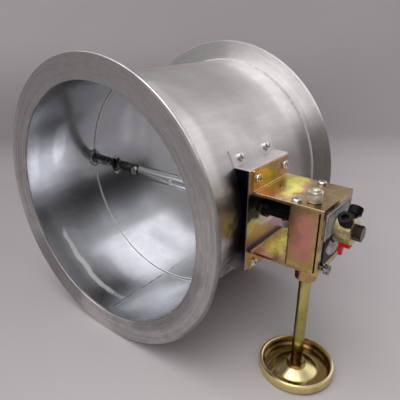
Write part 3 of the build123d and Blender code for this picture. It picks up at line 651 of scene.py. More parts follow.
@dataclass(frozen=True)
class YellowZinc(Finish):
    """Yellow-passivated zinc whose film shines from olive through gold to pink.

    Attributes:
        scale: The patches' scale.
        smooth: Roughness where it is bright.
        satin: Roughness where it is dull.
        stain_and_reflection: How strong the stains are.
        stained: The stains' tone.
        scratched: How strong the scratches are.
        scratch: The scratches' tone.
    """

    scale: float = 26.0
    smooth: float = 0.16
    satin: float = 0.3
    stain_and_reflection: float = 0.2
    stained: Colour = (0.14, 0.10, 0.05)
    scratched: float = 0.4
    scratch: Colour = (0.85, 0.78, 0.6)

    def film(self, place: Value, clouds: Value) -> Value:
        """Returns the film's tint, which follows its patches."""
        return clouds.ramp(
            (0.15, (0.36, 0.32, 0.09)),
            (0.45, (0.56, 0.42, 0.14)),
            (0.75, (0.56, 0.33, 0.15)),
            (1.0, (0.50, 0.24, 0.16)),
        )

    def dress(self, place: Value) -> dict[str, object]:
        """Wires the film's tint, its patches, stains and scratches."""
        clouds = place.clouds(self.scale)
        stains = place.clouds(70.0, 0.6)
        scratches = place.effect(Effect.SCRATCHES, 1100.0, self.scratched)
        dim = stains.fade(0.0, self.stain_and_reflection).mix(self.film(place, clouds), self.stained)
        height = clouds * 0.5 + place.effect(Effect.GRAIN, 1500.0) * 0.1
        return {
            "Base Color": (scratches * 0.5).mix(dim, self.scratch),
            "Metallic": self.metal(place),
            "Roughness": stains.fade(self.smooth, self.satin),
            "Normal": height.bump(0.15, 0.0004),
        }


@dataclass(frozen=True)
class StripZinc(YellowZinc):
    """The bent strip's film, which changes along the arms, the feet and the web, with painted
    highlights and painted shade.

    Attributes:
        start: Where the arms start along x.
        reach: The arms' length.
        near_y: The strip's edge towards the inlet.
        width: The strip's width.
        top: The upper arm's top.
        bottom: The lower arm's underside.
        bend: The bend's place from the arms' start.
        edge_highlight_tone: The tone of the painted highlights on the upper arm's near edge and
            bend.
        pink: The arms' tone near the edge.
        joint: The tone of the painted shade on the web's lower half, where the lower arm starts.
    """

    start: float = 0.1065
    reach: float = 0.0537
    near_y: float = 0.0558
    width: float = 0.0514
    top: float = 0.0238
    bottom: float = -0.026
    bend: float = 0.0026
    edge_highlight_tone: Colour = (0.98, 0.86, 0.46)
    pink: Colour = (0.66, 0.32, 0.22)
    joint: Colour = (0.02, 0.015, 0.01)

    def film(self, place: Value, clouds: Value) -> Value:
        """Returns olive and bronze arms, orange and pink feet, painted shade on the web's lower
        half and painted highlights.
        """
        x, y, z = place.split()
        shift = clouds.swing(0.4)
        out = (x - self.start) / self.reach
        over = (y - self.near_y) / self.width
        arm = (out + shift).ramp(
            (0.0, (0.60, 0.46, 0.10)),
            (0.1, (0.52, 0.52, 0.10)),
            (0.24, (0.86, 0.80, 0.12)),
            (0.44, (0.86, 0.72, 0.18)),
            (0.56, (0.60, 0.37, 0.18)),
            (0.8, (0.44, 0.29, 0.15)),
            (1.0, (0.62, 0.46, 0.21)),
        )
        near = (over + shift * 0.7).span(0.02, 0.3, 0.75, 0.0)
        arm = (near * out.drop(0.5, 0.6)).mix(arm, self.pink)
        foot = (over + shift).ramp(
            (0.1, (0.64, 0.34, 0.07)),
            (0.36, (0.52, 0.36, 0.09)),
            (0.6, (0.50, 0.33, 0.13)),
            (0.85, (0.62, 0.29, 0.24)),
        )
        on_foot = (z > self.top + 0.0004).math("MAXIMUM", z < self.bottom - 0.0004)
        # Painted shade on the web's lower half, where the lower arm starts.
        joint = x.drop(self.start + 0.0002, self.start + 0.0008) * (z < 0.0)
        film = on_foot.mix(joint.mix(arm, self.joint), foot)
        # Painted highlights along the upper arm's near edge and at its bend.
        return self.wear_and_highlight(place).mix(film, self.edge_highlight_tone)

    def metal(self, place: Value) -> Value:
        """Returns how metallic the strip is: less where highlights are painted and at the lower
        arm's bend, to lighten it.
        """
        x, _, z = place.split()
        bend = x.drop(self.start + self.bend, self.start + 1.3 * self.bend)
        return self.wear_and_highlight(place).math("MAXIMUM", bend * (z < 0.0)).fade(1.0, 0.4)

    def wear_and_highlight(self, place: Value) -> Value:
        """Returns where highlights are painted: along the upper arm's near edge and at its bend."""
        x, y, z = place.split()
        upper = z > self.top - 0.0004
        line = (y < self.near_y + 0.0007) * upper * (x > self.start + 0.003)
        bend = abs(x - (self.start + self.bend))
        return line.math("MAXIMUM", bend.drop(0.0001, 0.0004) * upper) * 0.85


@dataclass(frozen=True)
class PanelZinc(YellowZinc):
    """The housing's film: pink in the middle of its side, olive along the edges, brown above.

    Attributes:
        middle: The side's middle in x and z.
        half: Its half width and height.
        browned: The heights between which it gets brown.
        brown: The brown tone.
    """

    middle: Pair = (0.1462, -0.0011)
    half: Pair = (0.0111, 0.0229)
    browned: Pair = (0.010, 0.024)
    brown: Colour = (0.26, 0.17, 0.07)

    def film(self, place: Value, clouds: Value) -> Value:
        """Returns the tint by the distance from the side's edges."""
        x, _, z = place.split()
        shift = clouds.swing(0.5)
        across = abs((x - self.middle[0]) / self.half[0])
        up = abs((z - self.middle[1]) / self.half[1])
        colour = (across.math("MAXIMUM", up) + shift * 0.6).ramp(
            (0.45, (0.62, 0.27, 0.21)),
            (0.7, (0.58, 0.30, 0.19)),
            (0.88, (0.50, 0.36, 0.13)),
            (1.0, (0.58, 0.46, 0.16)),
        )
        return (z + shift * 0.02).span(*self.browned, 0.0, 0.75).mix(colour, self.brown)


@dataclass(frozen=True)
class RodZinc(YellowZinc):
    """The rod's film: olive-yellow and brown near the dish, with a painted dark reflection down one
    side and painted light on the other.

    Attributes:
        axis: The rod's axis in x and y.
        radius: Its radius.
        browned: The heights between which the brown ends.
        brown: The brown tone.
        way: The way across the rod from the side with the painted dark reflection to the side with
            painted light.
        pink: The pink tone of the painted light side.
        dark: The tone of the painted dark reflection.
    """

    axis: Pair = (0.1483, 0.067)
    radius: float = 0.0045
    browned: Pair = (-0.1045, -0.0925)
    brown: Colour = (0.13, 0.065, 0.025)
    way: Point = (0.788, 0.616, 0.0)
    pink: Colour = (0.62, 0.42, 0.27)
    dark: Colour = (0.012, 0.010, 0.008)

    def film(self, place: Value, clouds: Value) -> Value:
        """Returns the tint along and around the rod."""
        olive = clouds.mix((0.40, 0.38, 0.10), (0.58, 0.50, 0.17))
        moved = place.split()[2] + clouds.swing(0.012)
        rod = moved.span(*self.browned, 0.85, 0.0).mix(olive, self.brown)
        # A painted dark reflection down one side of the rod and painted light on the other.
        side = place.vector("SUBTRACT", (*self.axis, 0.0)).dot(self.way)
        dark = side.span(-self.radius, -0.72 * self.radius, 0.96, 0.0)
        pink = side.span(0.5 * self.radius, 0.95 * self.radius, 0.0, 0.7)
        return dark.mix(pink.mix(rod, self.pink), self.dark)


@dataclass(frozen=True)
class Metal(Toned):
    """Machined, plated, printed or painted metal of one tint.

    Attributes:
        scale: The patches' scale.
        metallic: How metallic it is.
        gloss: The specular level of its skin.
    """

    scale: float = 160.0
    metallic: float = 1.0
    gloss: float = 0.5

    def dress(self, place: Value) -> dict[str, object]:
        """Wires patches, scratches and grain."""
        clouds = place.clouds(self.scale, 0.7)
        scratches = place.effect(Effect.SCRATCHES, 700.0, 0.6)
        bright = tuple(min(1.0, 1.3 * c + 0.004) for c in self.high)
        height = place.effect(Effect.GRAIN, 2600.0) + clouds * 0.5
        return {
            "Base Color": scratches.mix(self.tint(place, clouds.mix(self.low, self.high)), bright),
            "Metallic": self.metallic,
            "Specular IOR Level": self.gloss,
            "Roughness": clouds.fade(self.satin, self.smooth),
            "Normal": height.bump(0.2, 0.0002),
        }


@dataclass(frozen=True)
class TippedMetal(Metal):
    """The strap's metal: a painted dark reflection over the shaft, bright at its tips.

    Attributes:
        middle: The shaft's height.
        half: The distances from it between which the painted dark reflection ends.
        dark_reflection: The tone of the painted dark reflection.
    """

    middle: float = 0.003
    half: Pair = (0.0062, 0.0072)
    dark_reflection: Colour = (0.03, 0.03, 0.032)

    def tint(self, place: Value, colour: Value) -> Value:
        """Paints a dark reflection on the part over the shaft."""
        away = abs(place.split()[2] - self.middle)
        return away.drop(*self.half).mix(colour, self.dark_reflection)


@dataclass(frozen=True)
class DishMetal(Metal):
    """The dish's gold film, with painted dark reflections between its cone and its wall and on the
    cone's back.

    Attributes:
        axis: The dish's axis in x and y.
        cone: The cone's radius.
        wall: The wall's inner radius.
        high_z: The height above which the wall is clear gold again.
        way: The way across the dish towards the cone's painted highlight.
        brown: The tone of the painted dark reflections.
        pale: The tone of the painted highlights on the wall's top edge and on the cone.
    """

    axis: Pair = (0.1483, 0.067)
    cone: float = 0.0171
    wall: float = 0.0278
    high_z: float = -0.1155
    way: Point = (0.615, -0.788, 0.0)
    brown: Colour = (0.16, 0.085, 0.035)
    pale: Colour = (0.96, 0.88, 0.52)

    def tint(self, place: Value, colour: Value) -> Value:
        """Paints dark reflections on the ring between the cone and the wall and on the cone's back,
        and highlights on the wall's top edge and the cone's front.
        """
        away = place.vector("SUBTRACT", (*self.axis, 0.0))
        x, y, z = away.split()
        radius = (x * x + y * y).math("SQRT")
        # Painted dark reflection on the flat ring between the cone and the wall.
        ring = radius.span(self.cone - 0.0006, self.cone + 0.0012)
        ring = ring * radius.drop(self.wall, self.wall + 0.0016)
        low = z.span(self.high_z - 0.002, self.high_z + 0.001, 0.82, 0.0)
        lip_highlight = z.span(self.high_z - 0.0006, self.high_z + 0.0006, 0.0, 0.6)
        # The cone's front gets a painted highlight and its back a painted dark reflection.
        cone = away.dot(self.way).span(-0.008, 0.008).mix(self.brown, self.pale)
        on_cone = radius.span(self.cone - 0.0012, self.cone - 0.0004, 0.7, 0.0)
        colour = on_cone.mix(lip_highlight.mix(colour, self.pale), cone)
        return (ring * low).mix(colour, self.brown)


@dataclass(frozen=True)
class DialPrint(Finish):
    """The dial plate's print: grey-white above, black below.

    Attributes:
        edge_z: Where the black part starts.
        upper: The light part's two tones.
        lower: The black part's two tones.
        wear_and_highlight: The scratches' tone on the light and on the black part.
    """

    edge_z: float = -0.0005
    upper: tuple[Colour, Colour] = ((0.30, 0.31, 0.33), (0.46, 0.47, 0.48))
    lower: tuple[Colour, Colour] = ((0.004, 0.004, 0.006), (0.010, 0.010, 0.012))
    wear_and_highlight: tuple[Colour, Colour] = ((0.30, 0.30, 0.30), (0.03, 0.03, 0.032))

    def dress(self, place: Value) -> dict[str, object]:
        """Wires the two printed fields and their wear."""
        below = place.split()[2] < self.edge_z
        clouds = place.clouds(120.0, 0.6)
        scratches = place.effect(Effect.SCRATCHES, 600.0, 0.5)
        both = below.mix(clouds.mix(*self.upper), clouds.mix(*self.lower))
        return {
            "Base Color": (scratches * 0.5).mix(both, below.mix(*self.wear_and_highlight)),
            "Specular IOR Level": 0.1,
            "Roughness": clouds.fade(0.26, 0.4),
            "Normal": place.effect(Effect.GRAIN, 1800.0).bump(0.1, 0.0002),
        }


@dataclass(frozen=True)
class StudioPaper(Finish):
    """The floor and the backdrop: pale, matt and faintly mottled, with painted shade low down
    towards negative x.

    Attributes:
        low: The darker tone.
        high: The lighter tone.
        wall: The backdrop's factor on the tone.
        wall_z: The heights between which it starts.
        left_shade: The factor far towards negative x, a painted shade.
        left_x: The places between which it ends.
        left_z: The heights between which it fades.
        front: The factor on the floor behind the camera.
        front_y: The places between which it ends.
    """

    low: Colour
    high: Colour
    wall: float = 1.03
    wall_z: Pair = (-0.09, 0.0)
    left_shade: float = 0.66
    left_x: Pair = (-0.25, 0.15)
    left_z: Pair = (-0.02, 0.12)
    front: float = 0.6
    front_y: Pair = (-0.7, -0.22)

    def dress(self, place: Value) -> dict[str, object]:
        """Wires the mottling, the painted shade towards negative x and the slow changes over the
        paper.
        """
        clouds = place.clouds(3.0)
        x, y, z = place.split()
        # Painted shade low down towards negative x.
        dim = x.span(*self.left_x, 1.0 - self.left_shade, 0.0) * z.drop(*self.left_z)
        share = z.span(*self.wall_z, 1.0, self.wall) * (dim * -1.0 + 1.0)
        share = share * y.span(*self.front_y, self.front, 1.0)
        return {
            "Base Color": clouds.mix(self.low, self.high).scaled(share),
            "Roughness": clouds.fade(0.75, 0.85),
            "Normal": place.effect(Effect.GRAIN, 400.0).bump(0.05, 0.001),
        }

    def skin(self, surface: Value) -> Value:
        """Lets a view from behind the paper pass through it."""
        behind = surface.bench.value("NewGeometry", output="Backfacing")
        clear = surface.bench.value("BsdfTransparent")
        return surface.bench.value("MixShader", {0: behind, 1: surface, 2: clear})


class Palette:
    """The damper's finishes."""

    SATIN = {"low": (0.577, 0.557, 0.56), "high": (0.742, 0.709, 0.702)}
    PLATED = {"low": (0.55, 0.55, 0.53), "high": (0.86, 0.85, 0.80)}

    BARREL = BarrelSheet("galvanised_barrel", **SATIN)
    BLADE = DiscSheet(
        "galvanised_blade",
        low=(0.53, 0.54, 0.58),
        high=(0.665, 0.67, 0.685),
        smooth=0.15,
        satin=0.22,
        roll=(0.12, 1.0, 1.0),
    )
    SADDLE = SaddleSheet("galvanised_saddle", **SATIN, roll=(1.0, 1.0, 0.15))
    FLANGE = TurnedRing("brushed_flange")
    FAR_FLANGE = TurnedRing(
        "satin_flange",
        low=(0.50, 0.49, 0.485),
        high=(0.76, 0.75, 0.745),
        smooth=0.36,
        satin=0.46,
        # Painted light and shade on the outlet flange, with a painted highlight along its outer
        # edge.
        painted_shades=(
            Zone(108.0, 40.0, 38.0, 84.0, 1.3),
            Zone(117.4, 1.3, 36.0, 112.0, 1.5),
            Zone(108.0, 40.0, -13.0, 20.0, 0.62),
            Zone(108.0, 40.0, 358.0, 373.0, 0.62),
            Zone(106.0, 30.0, 316.0, 330.0, 0.4),
        ),
    )
    YOKE = StripZinc("yellow_zinc_strip")
    PANEL = PanelZinc("yellow_zinc_panel", smooth=0.2, satin=0.34, stain_and_reflection=0.08, scratched=0.06)
    ROD = RodZinc("yellow_zinc_rod", scale=40.0)
    BOSS = YellowZinc("yellow_zinc_boss")
    BUSH = Metal("turned_bush", (0.30, 0.30, 0.31), (0.5, 0.5, 0.51))
    ZINC = Metal("bright_zinc", **PLATED)
    STRAP = TippedMetal("strap_dark_reflection", **PLATED)
    PALE_NUT = Metal(
        "pale_yellow_zinc", (0.42, 0.39, 0.28), (0.95, 0.92, 0.78), scale=330.0, metallic=0.6
    )
    LOW_NUT = Metal("brown_gold_nut", (0.14, 0.08, 0.02), (0.42, 0.30, 0.10), 0.14, 0.24, 60.0)
    STUD = Metal("dark_zinc", (0.012, 0.012, 0.013), (0.42, 0.41, 0.39), 0.12, 0.2, 300.0, 0.6)
    SHAFT = Metal("dark_drawn_steel", (0.05, 0.05, 0.055), (0.16, 0.16, 0.165))
    OXIDE = Metal(
        "black_oxide", (0.004, 0.004, 0.005), (0.012, 0.012, 0.013), 0.2, 0.3, 160.0, 0.0, 0.08
    )
    BRASS = Metal("machined_brass", (0.46, 0.38, 0.17), (0.82, 0.73, 0.43), 0.2, 0.3, 60.0)
    BROWNED = Metal("browned_steel", (0.018, 0.010, 0.008), (0.085, 0.052, 0.042), 0.16, 0.24)
    DISH = DishMetal("gold_zinc_dish", (0.56, 0.385, 0.11), (0.78, 0.62, 0.26), 0.12, 0.18, 26.0)
    RED = Metal(
        "red_paint", (0.66, 0.012, 0.010), (0.84, 0.025, 0.018), 0.3, 0.45, metallic=0.0, gloss=0.15
    )
    SEAM = Metal("welded_seam", (0.34, 0.34, 0.345), (0.62, 0.62, 0.63), 0.3, 0.42)
    JOINT = Metal(
        "flange_joint", (0.48, 0.475, 0.475), (0.58, 0.575, 0.575), 0.45, 0.55, metallic=0.3
    )
    # Painted shade: dark crosses standing in for the screws' recesses.
    RECESS = Metal("cross_recess", (0.03, 0.03, 0.032), (0.09, 0.09, 0.092), 0.35, 0.5)
    DIAL = DialPrint("dial_print")
    WHITE = Metal("white_print", (0.50, 0.50, 0.52), (0.66, 0.66, 0.67), 0.3, 0.42, 140.0, 0.0)
    PRINT = Metal(
        "black_print", (0.012, 0.012, 0.013), (0.03, 0.03, 0.032), 0.3, 0.45, metallic=0.0
    )
    FLOOR = StudioPaper("studio_floor", (0.49, 0.461, 0.469), (0.518, 0.488, 0.496))


@dataclass(frozen=True)
class Seat:
    """A place on the model in millimetres, and the way out of the surface there.

    Attributes:
        at: The place.
        out: The way out.
        turn: The turn about the way out, in degrees.
    """

    at: Point
    out: Point
    turn: float = 0.0

    def matrix(self) -> Matrix:
        """Returns the matrix that puts the origin and +Z there."""
        out = Vector(self.out).normalized()
        guide = Vector((0.0, 0.0, 1.0)).cross(out) if abs(out.z) < 0.9 else Vector((1.0, 0.0, 0.0))
        side = guide.normalized()
        axes = Matrix((side, out.cross(side), out)).transposed()
        turned = axes @ Matrix.Rotation(radians(self.turn), 3, "Z")
        return Matrix.Translation(self.at) @ turned.to_4x4()


class Mould:
    """A piece's mesh while it is made, in millimetres."""

    def __init__(self) -> None:
        """Starts with nothing."""
        self.shape = bmesh.new()

    def settle(self, before: set, seat: Seat) -> None:
        """Moves the points that weren't there before to a seat."""
        fresh = [v for v in self.shape.verts if v not in before]
        bmesh.ops.transform(self.shape, matrix=seat.matrix(), verts=fresh)

    def turned(self, seat: Seat, profile: tuple, steps: int = 32, ring: bool = False) -> None:
        """Adds a turned shape.

        Args:
            seat: Its axis and foot.
            profile: Radius and height of each point, from axis to axis unless it is a ring.
            steps: Its sides.
            ring: Whether the profile closes on itself.
        """
        before = set(self.shape.verts)
        row = [self.shape.verts.new((r, 0.0, h)) for r, h in profile]
        pairs = list(zip(row, row[1:])) + ([(row[-1], row[0])] if ring else [])
        edges = [self.shape.edges.new(pair) for pair in pairs]
        bmesh.ops.spin(
            self.shape,
            geom=row + edges,
            cent=(0, 0, 0),
            axis=(0, 0, 1),
            angle=2 * pi,
            steps=steps,
            use_merge=True,
        )
        self.settle(before, seat)

    def prism(self, seat: Seat, outline: tuple, height: float, edge: float = 0.0) -> None:
        """Adds a prism.

        Args:
            seat: Its foot.
            outline: Its corners in the foot's plane.
            height: Its height.
            edge: The bevel of its top, none at 0.
        """
        before = set(self.shape.verts)
        foot = self.shape.faces.new([self.shape.verts.new((x, y, 0.0)) for x, y in outline])
        raised = bmesh.ops.extrude_face_region(self.shape, geom=[foot])["geom"]
        top = [g for g in raised if isinstance(g, bmesh.types.BMVert)]
        bmesh.ops.translate(self.shape, vec=(0.0, 0.0, height), verts=top)
        if edge > 0.0:
            bmesh.ops.bevel(
                self.shape,
                geom=[g for g in raised if isinstance(g, bmesh.types.BMEdge)],
                offset=edge,
                offset_type="OFFSET",
                segments=1,
                profile=0.5,
                affect="EDGES",
                material=-1,
            )
        self.settle(before, seat)

    def lettering(self, seat: Seat, text: str, size: float, height: float) -> None:
        """Adds raised figures.

        Args:
            seat: Their middle.
            text: The figures.
            size: Their size.
            height: How far they stand out.
        """
        curve = bpy.data.curves.new("figures", "FONT")
        curve.body = text
        curve.size = size
        curve.align_x = "CENTER"
        curve.align_y = "CENTER"
        curve.extrude = height / 2
        curve.resolution_u = 2
        holder = bpy.data.objects.new("figures", curve)
        mesh = bpy.data.meshes.new_from_object(holder)
        before = set(self.shape.verts)
        self.shape.from_mesh(mesh)
        self.settle(before, seat)
        bpy.data.objects.remove(holder)
        bpy.data.meshes.remove(mesh)

    def piece(
        self,
        name: str,
        finish: Finish,
        sharp: float = 35.0,
        body: Body = Body.CASING,
    ) -> None:
        """Finishes the piece.

        Args:
            name: Its name.
            finish: Its finish.
            sharp: The angle from which an edge stays sharp, in degrees.
            body: The body that it rides on.
        """
        shape = self.shape
        bmesh.ops.remove_doubles(shape, verts=shape.verts[:], dist=0.0001)
        bmesh.ops.recalc_face_normals(shape, faces=shape.faces[:])
        bmesh.ops.scale(shape, vec=(MM, MM, MM), verts=shape.verts[:])
        for face in shape.faces:
            face.smooth = True
        for edge in shape.edges:
            edge.smooth = len(edge.link_faces) == 2 and edge.calc_face_angle() < radians(sharp)
        mesh = bpy.data.meshes.new(name)
        shape.to_mesh(mesh)
        shape.free()
        mesh.materials.append(finish.material())
        made = bpy.data.objects.new(name, mesh)
        bpy.context.scene.collection.objects.link(made)
        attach(made, body.value)
        LOG.info("built %s: %d faces, rides on %s", name, len(mesh.polygons), body.value)


def rectangle(width: float, height: float, middle: Pair = (0.0, 0.0)) -> tuple:
    """Returns the four corners of a rectangle about a middle."""
    x, y = middle
    signs = ((-1, -1), (1, -1), (1, 1), (-1, 1))
    return tuple((x + a * width / 2, y + b * height / 2) for a, b in signs)


def cross(reach: float, half: float) -> tuple:
    """Returns the twelve corners of a cross, from its arms' reach and half width."""
    arm = ((half, half), (half, reach), (-half, reach))
    turns = ((1, 0), (0, 1), (-1, 0), (0, -1))
    return tuple((c * x - d * y, d * x + c * y) for c, d in turns for x, y in arm)


def arc(radius: float, start: float, end: float, steps: int) -> list:
    """Returns points on an arc about the origin, from start to end in degrees."""
    angles = [radians(start + (end - start) * number / steps) for number in range(steps + 1)]
    return [(radius * cos(a), radius * sin(a)) for a in angles]


def band(inner: float, outer: float, start: float, end: float) -> tuple:
    """Returns the outline of a ring's part, between two radii and two angles in degrees."""
    return tuple(arc(outer, start, end, 24) + arc(inner, end, start, 24))


def dress_nodes(finish: Finish, *names: str) -> None:
    """Gives CAD nodes a finish."""
    for name in names:
        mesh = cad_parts[name].data
        mesh.materials.clear()
        mesh.materials.append(finish.material())
        LOG.info("dressed %s in %s", name, finish.name)


@dataclass
class DuctShell:
    """The duct section with its flanges, boss and bushes.

    Attributes:
        radius: The barrel's outer radius.
        inner: Its inner radius.
        length: The duct's length.
        seam_turn: The seam's angle about the duct's axis, in degrees.
        seam_ends: Where the seam is seen inside, along the duct.
        seam_width: Its width.
        seam_rises: How far it stands out inside and outside.
        margin: The seam's distance from the duct's ends outside.
        sink: How far trim reaches into the sheet.
        bead: The size of the joint between barrel and flange.
        flange: A flange's thickness.
    """

    radius: float = 99.5
    inner: float = 98.3
    length: float = 175.0
    seam_turn: float = -91.4
    seam_ends: Pair = (4.0, 73.0)
    seam_width: float = 1.6
    seam_rises: Pair = (0.12, 0.3)
    margin: float = 4.0
    sink: float = 0.1
    bead: float = 1.3
    flange: float = 2.0

    def seam(self) -> None:
        """Builds the barrel's welded seam, inside and outside."""
        mould = Mould()
        turn = radians(self.seam_turn)
        way = Vector((cos(turn), 0.0, sin(turn)))
        full = (self.margin, self.length - self.margin)
        for radius, facing, (low, high), rise in (
            (self.inner, -1.0, self.seam_ends, self.seam_rises[0]),
            (self.radius, 1.0, full, self.seam_rises[1]),
        ):
            middle = way * (radius - facing * self.sink) + Vector((0.0, (low + high) / 2, 0.0))
            seat = Seat(tuple(middle), tuple(way * facing))
            mould.prism(seat, rectangle(self.seam_width, high - low), rise + self.sink, 0.08)
        mould.piece("duct_seam", Palette.SEAM)

    def joints(self) -> None:
        """Builds the joint rings between the barrel and its flanges."""
        mould = Mould()
        profile = (
            (self.radius - self.sink, -0.05),
            (self.radius + self.bead, -0.05),
            (self.radius + 0.45 * self.bead, 0.35 * self.bead),
            (self.radius - self.sink, self.bead),
        )
        for y, facing in ((self.flange, 1.0), (self.length - self.flange, -1.0)):
            mould.turned(Seat((0.0, y, 0.0), (0.0, facing, 0.0)), profile, 128, True)
        mould.piece("flange_joints", Palette.JOINT, 80.0)

    def build(self) -> None:
        """Dresses the duct and builds its seam and joints."""
        self.seam()
        self.joints()
        dress_nodes(Palette.BARREL, "duct_barrel", "far_boss")
        dress_nodes(Palette.FLANGE, "inlet_flange")
        dress_nodes(Palette.FAR_FLANGE, "outlet_flange")
        dress_nodes(Palette.BUSH, "far_bush", "end_bush")
        dress_nodes(Palette.OXIDE, "near_bush")


@dataclass
class BladeSet:
    """The blade with its shaft and fasteners."""

    def build(self) -> None:
        """Dresses the blade."""
        dress_nodes(Palette.BLADE, "blade_disc")
        dress_nodes(Palette.SHAFT, "blade_shaft", "coupling_pin", "wheel_pin")
        dress_nodes(Palette.OXIDE, "drive_shaft")
        dress_nodes(Palette.STRAP, "shaft_strap")
        dress_nodes(Palette.ZINC, "strap_nuts", "blade_bolts", "blade_bolt_nuts", "blade_rivet")


@dataclass
class Bracket:
    """The saddle on the duct and the bent strip with its screws.

    Attributes:
        middle: The shaft's place along the duct.
        rivet_turns: The rivets' angles about the duct's axis, in degrees.
        rivet_seat: The distance of their heads' tops from the duct's axis.
        rivet_side: Their distance from the middle, along the duct.
        rivet_r: Their heads' radius.
        feet_x: The feet's screws: their heads' tops along x.
        feet: Their heights, with the turn of each one's recess.
        feet_side: Their distance from the middle.
        arms_x: The arms' screws: their place along x.
        arms: The heights of their heads' tops, with the way out.
        arms_side: Their distance from the middle.
        arms_turn: The turn of their recesses.
        recess: A recess's reach, half width, height and sink under the head's top.
    """

    middle: float = 81.5
    rivet_turns: Pair = (26.69, -27.83)
    rivet_seat: float = 102.32
    rivet_side: float = 18.1
    rivet_r: float = 3.4
    feet_x: float = 108.8
    feet: tuple[Pair, Pair] = ((32.8, 20.0), (-36.6, 50.0))
    feet_side: float = 20.0
    arms_x: float = 138.3
    arms: tuple[Pair, Pair] = ((26.1, 1.0), (-28.3, -1.0))
    arms_side: float = 21.0
    arms_turn: float = 15.0
    recess: tuple[float, float, float, float] = (1.8, 0.4, 0.28, 0.25)

    def domes(self) -> None:
        """Builds the rivets' domes."""
        mould = Mould()
        r = self.rivet_r
        dome = ((0.0, 0.9), (0.35 * r, 0.82), (0.7 * r, 0.5), (0.93 * r, 0.1))
        profile = (*dome, (r, -0.3), (0.0, -0.3))
        for degrees in self.rivet_turns:
            out = Vector((cos(radians(degrees)), 0.0, sin(radians(degrees))))
            for side in (-self.rivet_side, self.rivet_side):
                at = (self.rivet_seat * out.x, self.middle + side, self.rivet_seat * out.z)
                mould.turned(Seat(at, tuple(out)), profile, 24)
        mould.piece("rivet_domes", Palette.ZINC, 60.0)

    def recesses(self) -> None:
        """Builds dark crosses on the pan heads, painted shade standing in for their recesses."""
        mould = Mould()
        reach, half, height, sink = self.recess
        shape = cross(reach, half)
        for z, turn in self.feet:
            for step in (-self.feet_side, self.feet_side):
                at = (self.feet_x - sink, self.middle + step, z)
                mould.prism(Seat(at, (1.0, 0.0, 0.0), turn + step), shape, height)
        for z, out in self.arms:
            for step in (-self.arms_side, self.arms_side):
                at = (self.arms_x, self.middle + step, z - sink * out)
                mould.prism(Seat(at, (0.0, 0.0, out), self.arms_turn + step), shape, height)
        mould.piece("screw_recesses", Palette.RECESS)

    def build(self) -> None:
        """Dresses the bracket and builds its small parts."""
        self.domes()
        self.recesses()
        dress_nodes(Palette.SADDLE, "pedestal")
        dress_nodes(Palette.YOKE, "yoke")
        dress_nodes(Palette.BOSS, "rod_boss")
        dress_nodes(Palette.ZINC, "pedestal_rivets", "yoke_screws", "yoke_nuts", "housing_screws")
        dress_nodes(Palette.STUD, "end_plate_bolt")


